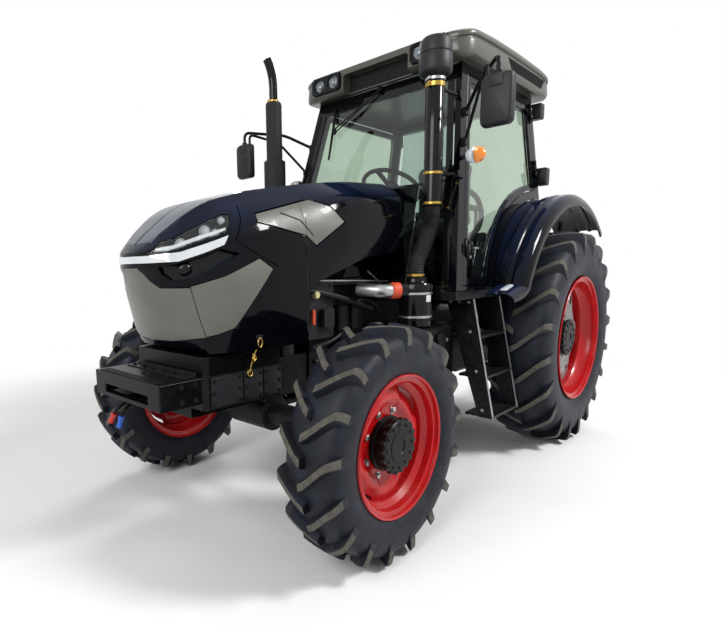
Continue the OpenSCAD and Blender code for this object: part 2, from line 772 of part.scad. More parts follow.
module rear_axle() color("#1e1f22") at_axle() both_sides() translate([0, 0, rear_tyre_r]) {
    hub_start = rear_track / 2 + rear_disc_out - disc_wall - hub_in;
    across(trumpet_r, case_hw, trumpet_y);
    across(spindle_r, case_hw, hub_start + spindle_in);
}

module drawbar() color("#2a2b2d") at_axle() difference() {
    union() {
        span(-drawbar_back + drawbar_w / 2, 0, -drawbar_w / 2, drawbar_w / 2, drawbar_z - drawbar_t,
            drawbar_z);
        translate([drawbar_w / 2 - drawbar_back, 0, drawbar_z - drawbar_t])
            cylinder(h = drawbar_t, r = drawbar_w / 2);
        span(-drawbar_w, 0, -drawbar_w / 2, drawbar_w / 2, drawbar_z - drawbar_t, case_z);
    }
    translate([drawbar_w / 2 - drawbar_back, 0, drawbar_z - 2 * drawbar_t])
        cylinder(h = 3 * drawbar_t, r = drawbar_r);
}

// Front end
module box_plan(in) polygon([[box_x, in - box_hw], [box_front - box_cut - in, in - box_hw],
    [box_front - in, in + box_cut - box_hw], [box_front - in, box_hw - box_cut - in],
    [box_front - box_cut - in, box_hw - in], [box_x, box_hw - in]]);
module box_wall(in) difference() {
    box_plan(in);
    translate([-plate_t, 0]) box_plan(in + plate_t);
}
module front_frame() color("#141518") at_axle() {
    span(engine_front, box_front - 2 * plate_t, -rail_hw, rail_hw, rail_z, deck_z);
    translate([0, 0, box_z]) linear_extrude(box_h) box_wall(0);
    translate([0, 0, deck_z - plate_t]) linear_extrude(plate_t) box_plan(0);
    translate([0, 0, deck_z]) linear_extrude(plinth_h) box_wall(plinth_in);
    translate([0, 0, box_top - plate_t]) linear_extrude(plate_t) box_plan(plinth_in);
    span(box_front - 3 * plate_t, box_front - plate_t / 2, -rail_hw, rail_hw, rail_z, deck_z);
}

module front_bumper() color("#17181b") at_axle() difference() {
    union() {
        span(bumper_x - 2 * bumper_t, bumper_x, -bumper_hw, bumper_hw, bumper_z, bumper_z + bumper_h);
        for (s = [-1, 1])
            span(box_front, bumper_x, s * (bumper_hw - bumper_t / 2) - bumper_t / 2,
                s * (bumper_hw - bumper_t / 2) + bumper_t / 2, bumper_z, bumper_z + bumper_h);
        span(box_front, bumper_x, -bumper_hw, bumper_hw, bumper_z + bumper_h - bumper_t,
            bumper_z + bumper_h);
        span(box_front, bumper_x, -tongue_hw, tongue_hw, bumper_z, bumper_z + bumper_t);
    }
    translate([bumper_x - box_back / 2, 0, bumper_z - bumper_t])
        cylinder(h = bumper_h + 2 * bumper_t, r = tow_r);
    span(bumper_x - 3 * bumper_t, bumper_x + bumper_t, -slot_hw, slot_hw, bumper_z + bumper_t,
        bumper_z + bumper_h - 3 * bumper_t);
}

// Bonnet
function bonnet_half(s, in) = let(w = s[3] * bonnet_hw - in, t = s[4] * bonnet_hw - in,
    low = bonnet_z + s[1] * bonnet_h, high = bonnet_z + s[2] * bonnet_h - in)
    [for (p = section_shares) [w + (t - w) * p[0], low + (high - low) * p[1]]];
function bonnet_section(s, in) = let(h = bonnet_half(s, in))
    concat(h, [for (i = [len(h) - 1 : -1 : 0]) [-h[i][0], h[i][1]]]);
module bonnet_slice(s, in) translate([bonnet_x + s[0] * bonnet_len, 0, 0]) rotate([90, 0, 90])
    linear_extrude(bonnet_wall / 20) polygon(bonnet_section(s, in));
module bonnet_loft(list, in) for (i = [0 : len(list) - 2]) hull() {
    bonnet_slice(list[i], in);
    bonnet_slice(list[i + 1], in);
}
module bonnet_shell() difference() {
    bonnet_loft(bonnet_shares, 0);
    bonnet_loft(bonnet_inner, bonnet_wall);
}
module grille_zone() profile_y(2 * bonnet_hw) polygon(shares_at(grille_shares, bonnet_x, bonnet_z,
    bonnet_len, bonnet_h));
module vent_zone() profile_y(2 * bonnet_hw) polygon(shares_at(vent_shares, bonnet_x, bonnet_z,
    bonnet_len, bonnet_h));
module nose_zone(list) both_sides() translate([bonnet_x + lamp_start_share * bonnet_len, 0, 0])
    rotate([90, 0, 90])
    linear_extrude(bonnet_len) polygon(shares_at(list, 0, bonnet_z, bonnet_hw, bonnet_h));
module bonnet() color("#101218") at_axle() difference() {
    bonnet_shell();
    grille_zone();
    vent_zone();
    nose_zone(headlamp_shares);
    nose_zone(strip_shares);
}
module grille_panels() color("#7f8078") at_axle() intersection() {
    bonnet_shell();
    grille_zone();
}
module vent_panels() color("#7f8078") at_axle() intersection() {
    bonnet_shell();
    vent_zone();
}
module headlamps() color("#dfe6ea") at_axle() intersection() {
    bonnet_shell();
    nose_zone(headlamp_shares);
}
module bright_strip() color("#d8dadc") at_axle() intersection() {
    bonnet_shell();
    nose_zone(strip_shares);
}
module bonnet_hinges() color("#2a2b2d") at_axle() both_sides() translate([hinge_x, hinge_y, hinge_z])
    difference() {
    union() {
        across(hinge_r, -hinge_len / 2, hinge_len / 2);
        span(0, strap_len, -hinge_len / 2, hinge_len / 2, 0, hinge_r);
        span(2 * hinge_back, strap_len, -hinge_len / 2, hinge_len / 2, 0, hinge_drop - bonnet_wall);
    }
    across(hinge_pin_r + run_gap, -hinge_len, hinge_len);
}

module cowl() color("#15161a") at_axle() {
    front = bonnet_x - cowl_back;
    top = floor_top + cowl_h;
    difference() {
        profile_y(cowl_hw) polygon([[front, floor_top], [front, top - 2 * hinge_r],
            [front - 2 * hinge_r, top],
            [screen_at(top) + seat_gap, top], [min(screen_x, front - hinge_r), floor_top]]);
        span(front - hinge_r, front + hinge_r, -cowl_hw, cowl_hw, hinge_z - 2 * hinge_r, top + hinge_r);
    }
    both_sides() for (s = [-1, 1]) {
        y = hinge_y + s * (hinge_len / 2 + hinge_r / 2 + swing_gap / 6);
        span(front - 2 * hinge_r, hinge_x, y - hinge_r / 2, y + hinge_r / 2, hinge_z - hinge_r,
            hinge_z + hinge_r / 2);
        translate([hinge_x, 0, hinge_z]) across(hinge_r, y - hinge_r / 2, y + hinge_r / 2);
    }
    both_sides() translate([hinge_x, 0, hinge_z])
        across(hinge_pin_r, hinge_y - hinge_len / 2 - hinge_r, hinge_y + hinge_len / 2 + hinge_r);
}

// Cab
function side_outline() = concat([[screen_x - side_foot * tan(screen_rake), side_foot],
    [screen_at(roof_z), side_len], [0, side_len]], arc_points(sill_arc_r, 90, sill_angle(sill_arc_r,
        sill_z + side_foot)));
function door_outline() = concat(
    [[screen_at(sill_z) - post_w - rail_w * tan(screen_rake), rail_w / 2],
    [screen_at(roof_z) - post_w + rail_w * tan(screen_rake), side_len - rail_w],
        [post_w, side_len - rail_w]],
    arc_points(door_arc_r, acos(post_w / door_arc_r), sill_angle(door_arc_r, sill_z + rail_w / 2)));
module door_hinge_at(share) translate([door_axis_x, share * side_len, -door_axis_out])
    rotate([-90, 0, 0]) children();
module cab_side() {
    on_side() {
        linear_extrude(side_t) difference() {
            polygon(side_outline());
            polygon(door_outline());
        }
        ear = door_barrel * 3 / 4 + swing_gap / 6;
        for (s = door_hinge_shares) {
            door_hinge_at(s) translate([0, 0, -door_barrel]) cylinder(h = 2 * door_barrel, r = door_pin_r);
            for (e = [-1, 1]) door_hinge_at(s) {
                translate([0, 0, e * ear - door_barrel / 4])
                    cylinder(h = door_barrel / 2, r = door_barrel_r);
                span(-leaf_len, 0, -door_axis_out, leaf_t - door_axis_out, e * ear - door_barrel / 4,
                    e * ear + door_barrel / 4);
                span(-door_barrel_r, 0, -door_axis_out, 0, e * ear - door_barrel / 4,
                    e * ear + door_barrel / 4);
            }
        }
    }
}
module cab_frame() color("#121317") at_axle() {
    both_sides() cab_side();
    hw = side_y(roof_z) - side_t / 2;
    on_screen() translate([-hw, screen_len - rail_w, 2 * glass_t]) cube([2 * hw, rail_w - glass_t, side_t]);
    span(0, post_w, -hw, hw, roof_z - rail_w, roof_z);
}
module door_panel() on_side() {
    linear_extrude(side_t) difference() {
        offset(delta = -door_gap) polygon(door_outline());
        offset(delta = -door_gap - door_rim) polygon(door_outline());
    }
    for (s = door_hinge_shares) door_hinge_at(s) difference() {
        union() {
            translate([0, 0, -door_barrel / 2]) cylinder(h = door_barrel, r = door_barrel_r);
            span(0, leaf_len, -door_axis_out, leaf_t - door_axis_out, -door_barrel / 2, door_barrel / 2);
            span(0, door_barrel_r, -door_axis_out, 0, -door_barrel / 2, door_barrel / 2);
        }
        translate([0, 0, -door_barrel]) cylinder(h = 2 * door_barrel, r = door_pin_r + run_gap);
    }
}
module door_pane() on_side() translate([0, 0, side_t / 2]) linear_extrude(glass_t)
    offset(delta = -door_gap - door_rim - seat_gap) polygon(door_outline());
module door_left() color("#121317") at_axle() door_panel();
module door_right() color("#121317") at_axle() mirror([0, 1, 0]) door_panel();
module door_glass_left() color("#7fa596", 0.5) at_axle() door_pane();
module door_glass_right() color("#7fa596", 0.5) at_axle() mirror([0, 1, 0]) door_pane();

module windscreen() color("#7fa596", 0.5) at_axle() on_screen() translate([0, 0, glass_t])
    linear_extrude(glass_t) {
    foot = cab_hw - side_t / cos(side_lean) - 2 * swing_gap;
    head = side_y(roof_z) - side_t / cos(side_lean) - 2 * swing_gap;
    notch = (cowl_h + hinge_r) / cos(screen_rake);
    polygon([[-foot, screen_foot], [-head, screen_len - glass_t], [head, screen_len - glass_t],
        [foot, screen_foot],
        [cowl_hw + seat_gap, screen_foot], [cowl_hw + seat_gap, notch], [-cowl_hw - seat_gap, notch],
        [-cowl_hw - seat_gap, screen_foot]]);
}
module rear_window() color("#7fa596", 0.5) at_axle() translate([glass_t, 0, 0]) rotate([90, 0, 90])
    linear_extrude(glass_t) {
    low = min(house_y - panel_t - seat_gap,
        side_y(rear_tyre_r + wing_r) - side_t / cos(side_lean) - 2 * swing_gap);
    head = side_y(roof_z) - side_t / cos(side_lean) - 2 * swing_gap;
    base = floor_top + rear_wall_h + seat_gap;
    polygon([[-low, base], [-low, rear_tyre_r + wing_r], [-head, roof_z - rail_w - seat_gap],
        [head, roof_z - rail_w - seat_gap], [low, rear_tyre_r + wing_r], [low, base]]);
}

module cab_base() color("#16171a") at_axle() {
    span(0, screen_x, -house_y, house_y, floor_z, floor_top);
    span(step_x, screen_x, -cab_hw, cab_hw, floor_z, floor_top);
    both_sides() translate([0, house_y, 0]) rotate([90, 0, 0]) linear_extrude(panel_t)
        polygon(concat([[0, floor_top]], [for (i = [0 : arch_steps])
            let(a = sill_angle(wing_r, floor_top), b = a + (90 - a) * i / arch_steps)
            [wing_r * cos(b), rear_tyre_r + wing_r * sin(b)]]));
    span(0, panel_t, -house_y, house_y, floor_top, floor_top + rear_wall_h);
    span(0, deck_len, panel_t - house_y, house_y - panel_t, floor_top + deck_h - panel_t,
        floor_top + deck_h);
    span(deck_len - panel_t, deck_len, panel_t - house_y, house_y - panel_t, floor_top, floor_top + deck_h);
    for (x = [mount_r * 2, engine_x - mount_r * 2], y = [-1, 1])
        translate([x, y * case_hw * 2 / 3, case_top]) cylinder(h = floor_z - case_top, r = mount_r);
}

module lamp_pods(gap) both_sides()
    span(roof_front - pod_d - gap, roof_front + lamp_d, pod_in - gap, pod_out + gap,
    roof_z + lamp_up - pod_h / 2 - gap, roof_z + lamp_up + pod_h / 2 + gap);
module cab_roof() color("#7d7b72") at_axle() difference() {
    intersection() {
        profile_y(roof_hw) polygon(shares_at(roof_shares, -roof_back, roof_z, roof_front + roof_back,
            roof_h));
        translate([0, 0, roof_z]) linear_extrude(2 * roof_h) offset(r = roof_corner)
            offset(delta = -roof_corner)
            translate([-roof_back, -roof_hw]) square([roof_front + roof_back, 2 * roof_hw]);
    }
    lamp_pods(seat_gap);
    span(roof_front - pod_d / 3, roof_front + lamp_d, -pod_in + pod_d / 3, pod_in - pod_d / 3,
        roof_z + lamp_up - pod_h / 2, roof_z + lamp_up + pod_h / 2);
}

module seat() color("#2a2a2c") at_axle() {
    base = floor_top + deck_h;
    translate([seat_x, 0, base]) cylinder(h = seat_base, r = seat_hw / 2);
    span(seat_x - seat_len / 2, seat_x + seat_len / 2, -seat_hw, seat_hw, base + seat_base,
        base + seat_base + seat_t);
    span(seat_x - seat_len / 2, seat_x - seat_len / 2 + seat_t, -seat_hw, seat_hw, base + seat_base,
        base + seat_base + seat_back);
}

module at_column() translate([dash_x - column_r, 0, floor_top + dash_h]) rotate([0, -column_tilt, 0])
    children();
module dashboard() color("#232427") at_axle() {
    profile_y(dash_hw) polygon([[dash_x, floor_top], [dash_x - dash_hw / 4, floor_top + dash_h * 3 / 4],
        [dash_x - dash_hw / 4, floor_top + dash_h], [dash_x + dash_hw / 3, floor_top + dash_h * 7 / 6],
        [dash_x + dash_hw / 2, floor_top + dash_h], [dash_x + dash_hw * 2 / 3, floor_top]]);
    at_column() translate([0, 0, -column_len]) cylinder(h = 2 * column_len, r = column_r);
    at_column() cylinder(h = column_len + 2 * wheel_rim, r = column_r / 2);
}
module steering_wheel() color("#1b1b1d") at_axle() at_column() translate([0, 0, column_len + seat_gap])
    difference() {
    union() {
        translate([0, 0, wheel_rim * 2]) rotate_extrude() translate([wheel_r, 0]) circle(r = wheel_rim);
        cylinder(h = wheel_rim * 3, r = 3 * wheel_rim);
        for (i = [1 : spokes]) rotate([0, 0, i * 360 / spokes])
            span(0, wheel_r, -wheel_rim, wheel_rim, wheel_rim * 3 / 2, wheel_rim * 5 / 2);
    }
    translate([0, 0, -wheel_rim]) cylinder(h = 3 * wheel_rim + swing_gap / 2, r = column_r / 2 + run_gap);
}

// Outside gear
function wing_line(in) = [for (p = wing_shares)
    [wing_r + p[1] * wing_lip - in, -house_y - p[0] * (wing_y - house_y) + (p[0] == 1 ? in : 0)]];
function wing_point(r, a) = [r * cos(a), rear_tyre_r + r * sin(a)];
module wing_plate(wide) translate([0, wing_y - seat_gap, 0]) rotate([90, 0, 0]) linear_extrude(wide) children();
module wing_toe() {
    tip = [toe_x, toe_z];
    top = [wing_point(wing_r + wing_t, wing_start + toe_lap), wing_point(wing_r + wing_t, wing_start), tip];
    low = [tip - [wing_t / 2, wing_t], wing_point(wing_r, wing_start), wing_point(wing_r, wing_start + toe_lap)];
    wing_plate((wing_y - house_y) * (1 - wing_shares[2][0])) polygon(concat(top, low));
    wing_plate(wing_t - 2 * seat_gap) polygon([top[0], tip, tip - [wing_t, toe_lip],
        wing_point(wing_r - wing_lip, wing_start + toe_lap / 2)]);
}
module rear_wings() color("#0f1116") at_axle() both_sides() {
    translate([0, 0, rear_tyre_r]) rotate([90, 0, 0]) rotate([0, 0, wing_start])
        rotate_extrude(angle = wing_sweep) {
            outer = wing_line(0);
            inner = wing_line(wing_t);
            polygon(concat(outer, [for (i = [len(inner) - 1 : -1 : 0]) inner[i]]));
        }
    wing_toe();
}

module side_tanks() color("#141518") at_axle() both_sides() {
    translate([tank_x, tank_y + tank_w / 2, tank_z + tank_h / 2]) rotate([0, 90, 0])
        linear_extrude(tank_len)
        offset(r = tank_edge) offset(delta = -tank_edge) square([tank_h, tank_w], center = true);
    span(tank_x + tank_edge, tank_x + 2 * tank_edge, engine_hw, tank_y + tank_edge, tank_z + tank_edge,
        tank_z + 2 * tank_edge);
}

module steps() color("#17181a") at_axle() both_sides() {
    rise = floor_z - step_z;
    for (x = [step_x, step_x + step_len - step_t])
        translate([x, 0, 0]) rotate([90, 0, 90]) linear_extrude(step_t)
            polygon([[cab_hw - step_d, floor_z], [cab_hw, floor_z], [cab_hw + step_out, step_z - step_t],
                [cab_hw + step_out - step_d / 2, step_z - step_t]]);
    for (s = tread_shares)
        span(step_x, step_x + step_len, cab_hw + step_out * (1 - s) - step_d, cab_hw + step_out * (1 - s),
            step_z + s * rise - step_t, step_z + s * rise);
}

module exhaust_stack() color("#1f1f20") at_axle() {
    translate([exhaust_x, -exhaust_y, 0]) {
        translate([0, 0, elbow_z - exhaust_r]) cylinder(h = silencer_z - elbow_z + exhaust_r,
            r = exhaust_r);
        translate([0, 0, elbow_z]) across(exhaust_r - exhaust_wall, 0,
            exhaust_y - engine_hw - cover_h - seat_gap);
        translate([0, 0, silencer_z]) cylinder(h = silencer_len, r = silencer_r);
        translate([0, 0, silencer_z + silencer_len])
            cylinder(h = tail_z - silencer_z - silencer_len, r = exhaust_r);
        translate([0, 0, tail_z]) cylinder(h = exhaust_top - tail_z, r = tail_r);
        translate([bend_r, 0, exhaust_top]) rotate([90, 0, 0]) rotate([0, 0, 180 - bend_deg])
            rotate_extrude(angle = bend_deg) translate([bend_r, 0]) difference() {
                circle(r = tail_r - exhaust_wall / 2);
                circle(r = tail_r - exhaust_wall * 3 / 2);
            }
    }
}

module air_cleaner() color("#141416") at_axle() translate([can_x, intake_y, tank_z + tank_h]) {
    cylinder(h = can_h, r = can_r);
    translate([0, 0, can_h]) cylinder(h = can_r / 3, r = can_r * 2 / 3);
}

module intake_stack() color("#141416") at_axle() {
    can_top = tank_z + tank_h + can_h + can_r / 3 + seat_gap;
    bend = [can_x, intake_y, can_top + hose_r * bulge_share + seat_gap];
    knee = [intake_x, intake_y, intake_z - 2 * hose_r];
    rod([can_x, intake_y, can_top], bend, hose_r);
    translate(bend) sphere(r = hose_r * bulge_share);
    rod(bend, knee, hose_r);
    translate(knee) sphere(r = hose_r * bulge_share);
    rod(knee, [intake_x, intake_y, intake_z], hose_r);
    translate([intake_x, intake_y, intake_z]) {
        cylinder(h = intake_len, r = intake_r);
        translate([0, 0, intake_len]) rotate_extrude()
            polygon([for (p = bowl_shares) [p[0] * bowl_r, p[1] * bowl_h]]);
    }
    for (s = bracket_shares) {
        z = sill_z + s * (roof_z - sill_z);
        y = side_y(z) - side_t / 2;
        on_screen() translate([-y - side_t / 2, s * screen_len - side_t / 2, -2 * mirror_arm_r])
            cube([side_t, side_t, 2 * mirror_arm_r]);
        rod([screen_at(z) + mirror_arm_r, y, z], [intake_x, intake_y, z], mirror_arm_r);
    }
}

module mirror_set() {
    translate([mirror_x, mirror_y, mirror_z]) rotate([90, 0, 90]) linear_extrude(mirror_d)
        offset(r = mirror_d / 2)
        offset(delta = -mirror_d / 2) square([mirror_w, mirror_h], center = true);
    hold = [mirror_x + mirror_d / 2, mirror_y, mirror_z + mirror_h / 2 - 2 * mirror_arm_r];
    for (s = [-1, 1]) {
        z = mirror_z + s * mirror_h / 3;
        x = screen_at(z) - post_w / 2;
        on_side() translate([x - side_t / 2, slope(z) - side_t / 2, -2 * mirror_arm_r])
            cube([side_t, side_t, 2 * mirror_arm_r]);
        rod([x, side_y(z) + mirror_arm_r, z], s > 0 ? hold : hold - [0, 0, 2 * mirror_arm_r],
            mirror_arm_r * (s > 0 ? 1 : thin_share));
    }
}
module mirrors() color("#2b2c2f") at_axle() both_sides() mirror_set();

module roof_lamps() color("#1a1b1e") at_axle() {
    difference() {
        lamp_pods(0);
        both_sides() for (y = [lamp_inner, lamp_outer])
            rod([roof_front - lamp_d, y, roof_z + lamp_up],
                [roof_front + 2 * lamp_d, y, roof_z + lamp_up], lamp_r + swing_gap);
    }
    both_sides() for (y = [lamp_inner, lamp_outer])
        rod([roof_front - 2 * lamp_d, y, roof_z + lamp_up],
            [roof_front + lamp_d / 2, y, roof_z + lamp_up], lamp_r);
}

module signal_lamps() color("#e8821e") at_axle() both_sides() {
    z = mirror_z - mirror_h * 2 / 3;
    x = screen_at(z) - post_w / 2;
    on_side() translate([x, slope(z), -signal_len]) cylinder(h = signal_len, r = signal_r);
    rod([-roof_back, roof_hw * 2 / 3, roof_z + roof_h / 3],
        [-roof_back - lamp_d, roof_hw * 2 / 3, roof_z + roof_h / 3],
        lamp_r * 2 / 3);
}

// Three-point lift
module lift_arms() color("#2a2b2d") at_axle() translate([-lift_x, 0, rock_z]) {
    across(rock_r, -lift_y - lift_t / 2, lift_y + lift_t / 2);
    for (s = [-1, 1]) translate([0, s * lift_y, 0]) {
        across(2 * rock_r - swing_gap, -lift_t / 2, lift_t / 2);
        span(-lift_len, 0, -lift_t / 2, lift_t / 2, -rod_eye_r, rod_eye_r);
        translate([-lift_len, 0, 0]) across(rod_eye_r, -lift_t / 2, lift_t / 2);
        translate([-lift_len, 0, 0]) across(rod_pin_r, s > 0 ? 0 : -2 * lift_t, s > 0 ? 2 * lift_t : 0);
    }
}
module lift_rods() color("#3a3b3d") at_axle() both_sides() {
    hw = lift_rod_r - swing_gap / 3;
    y = lift_y + lift_t / 2 + swing_gap + lift_rod_r;
    translate([-lift_x - lift_len, y, 0]) difference() {
        union() {
            rod([0, 0, link_z], [0, 0, rock_z], lift_rod_r);
            for (z = [link_z, rock_z]) translate([0, 0, z]) across(rod_eye_r, -hw, hw);
        }
        translate([0, 0, rock_z]) across(rod_pin_r + run_gap, -2 * lift_rod_r, 2 * lift_rod_r);
        translate([0, 0, link_z]) across(rod_pin_r + eye_gap, -2 * lift_rod_r, 2 * lift_rod_r);
    }
}
module lower_links() color("#2a2b2d") at_axle() both_sides() translate([-lift_x, lift_y, link_z])
    difference() {
    union() {
        span(-link_len, 0, -link_t / 2, link_t / 2, -link_h / 2, link_h / 2);
        across(link_h / 2, -link_t / 2, link_t / 2);
        translate([-link_len, 0, 0]) across(eye_r, -link_t / 2, link_t / 2);
        translate([-lift_len, 0, 0]) across(rod_pin_r, 0, 2 * lift_t);
    }
    across(link_pin_r + run_gap, -link_t, link_t);
    translate([-link_len, 0, 0]) across(ball_r, -link_t, link_t);
}

tyre_front_left();
tyre_front_right();
tyre_rear_left();
tyre_rear_right();
rim_front_left();
rim_front_right();
rim_rear_left();
rim_rear_right();
hub_front_left();
hub_front_right();
hub_rear_left();
hub_rear_right();
knuckle_left();
knuckle_right();
track_rod();
front_axle();
engine_block();
transmission();
rear_axle();
drawbar();
front_frame();
front_bumper();
bonnet();
grille_panels();
vent_panels();
headlamps();
bright_strip();
bonnet_hinges();
cowl();
cab_frame();
cab_base();
cab_roof();
door_left();
door_right();
door_glass_left();
door_glass_right();
windscreen();
rear_window();
seat();
dashboard();
steering_wheel();
rear_wings();
side_tanks();
steps();
exhaust_stack();
air_cleaner();
intake_stack();
mirrors();
roof_lamps();
signal_lamps();
lift_arms();
lift_rods();
lower_links();
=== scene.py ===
"""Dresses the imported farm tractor: finishes, tread, trim and small fittings around its frame."""
import logging
from dataclasses import dataclass
from enum import Enum
from math import cos, pi, radians, sin, sqrt, tan, tau
from typing import Iterable, Iterator, Optional, Sequence

import bmesh
import bpy
from bpy.types import BevelModifier, ID, Material, Mesh, Node, NodeSocket, NodeTree, Object
from mathutils import Matrix, Vector


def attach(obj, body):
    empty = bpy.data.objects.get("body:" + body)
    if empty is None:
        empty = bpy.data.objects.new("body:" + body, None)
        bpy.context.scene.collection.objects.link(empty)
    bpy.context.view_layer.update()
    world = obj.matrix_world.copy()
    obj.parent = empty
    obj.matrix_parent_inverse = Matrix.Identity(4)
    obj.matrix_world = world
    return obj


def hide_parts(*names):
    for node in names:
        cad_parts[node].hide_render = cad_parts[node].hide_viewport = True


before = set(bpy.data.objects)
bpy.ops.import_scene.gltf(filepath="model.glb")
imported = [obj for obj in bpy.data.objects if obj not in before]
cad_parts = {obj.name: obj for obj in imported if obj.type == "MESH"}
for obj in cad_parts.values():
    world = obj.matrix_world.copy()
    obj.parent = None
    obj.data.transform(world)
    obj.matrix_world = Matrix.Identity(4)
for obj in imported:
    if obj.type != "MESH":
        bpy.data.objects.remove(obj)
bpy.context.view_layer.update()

LOG = logging.getLogger("tractor")
MM = 0.001
REAR_AXLE = -1010.0
CHASSIS = "chassis"
# Points closer than this, in millimetres, are one
SAME = 0.02
AHEAD, BACK, LEFT, UP = (1, 0, 0), (-1, 0, 0), (0, 1, 0), (0, 0, 1)
Point = tuple[float, float, float]
Spot = Sequence[float]
Flat = Sequence[tuple[float, float]]
Outline = tuple[tuple[float, float], ...]


def place(p: Spot) -> Vector:
    """Turns millimetres ahead of the rear axle, left and up into a row-frame point in metres."""
    return Vector(((p[0] + REAR_AXLE) * MM, p[1] * MM, p[2] * MM))


def linear(code: str) -> tuple[float, float, float, float]:
    """Turns an sRGB hex colour into linear light.

    Args:
        code: six hex digits after a hash sign.
    Returns:
        Red, green, blue and a full alpha.
    """
    parts = [int(code[i:i + 2], 16) / 255 for i in (1, 3, 5)]
    red, green, blue = [c / 12.92 if c <= 0.04045 else ((c + 0.055) / 1.055) ** 2.4 for c in parts]
    return red, green, blue, 1.0


def stand(name: str, data: ID) -> Object:
    """Puts a new object with its data into the scene.

    Args:
        name: the object's name.
        data: its mesh, lamp or camera.
    Returns:
        The object.
    """
    made = bpy.data.objects.new(name, data)
    bpy.context.scene.collection.objects.link(made)
    return made


def add_node(tree: NodeTree, kind: str, settings: Optional[dict] = None, inputs: Optional[dict] = None) -> Node:
    """Adds a shader node with its settings and links.

    Args:
        tree: the node tree that takes the node.
        kind: Blender's name of the node type, less its ShaderNode.
        settings: attributes to set on the node.
        inputs: values or sockets for its inputs, by name or index.
    Returns:
        The new node.
    """
    new = tree.nodes.new("ShaderNode" + kind)
    for key, value in (settings or {}).items():
        setattr(new, key, value)
    for key, value in (inputs or {}).items():
        if isinstance(value, NodeSocket):
            tree.links.new(value, new.inputs[key])
        else:
            new.inputs[key].default_value = value
    return new


class Pattern(Enum):
    """How a layer or a relief is spread over a surface."""
    CLOUD = "soft blotches"
    GRIT = "fine even grain"
    TOP = "upward faces"
    LOW = "near the ground"
    EDGE = "worn edges"
    WEAVE = "crossed threads"
    RIB = "rings along the height"


@dataclass(frozen=True)
class Layer:
    """A second colour that lies over part of a finish."""
    pattern: Pattern
    hex: str
    size_mm: float
    amount: float
    roughness: float
    start: float = 0.45
    end: float = 0.7


@dataclass(frozen=True)
class Relief:
    """A surface texture with a real size and depth."""
    pattern: Pattern
    size_mm: float
    depth_mm: float


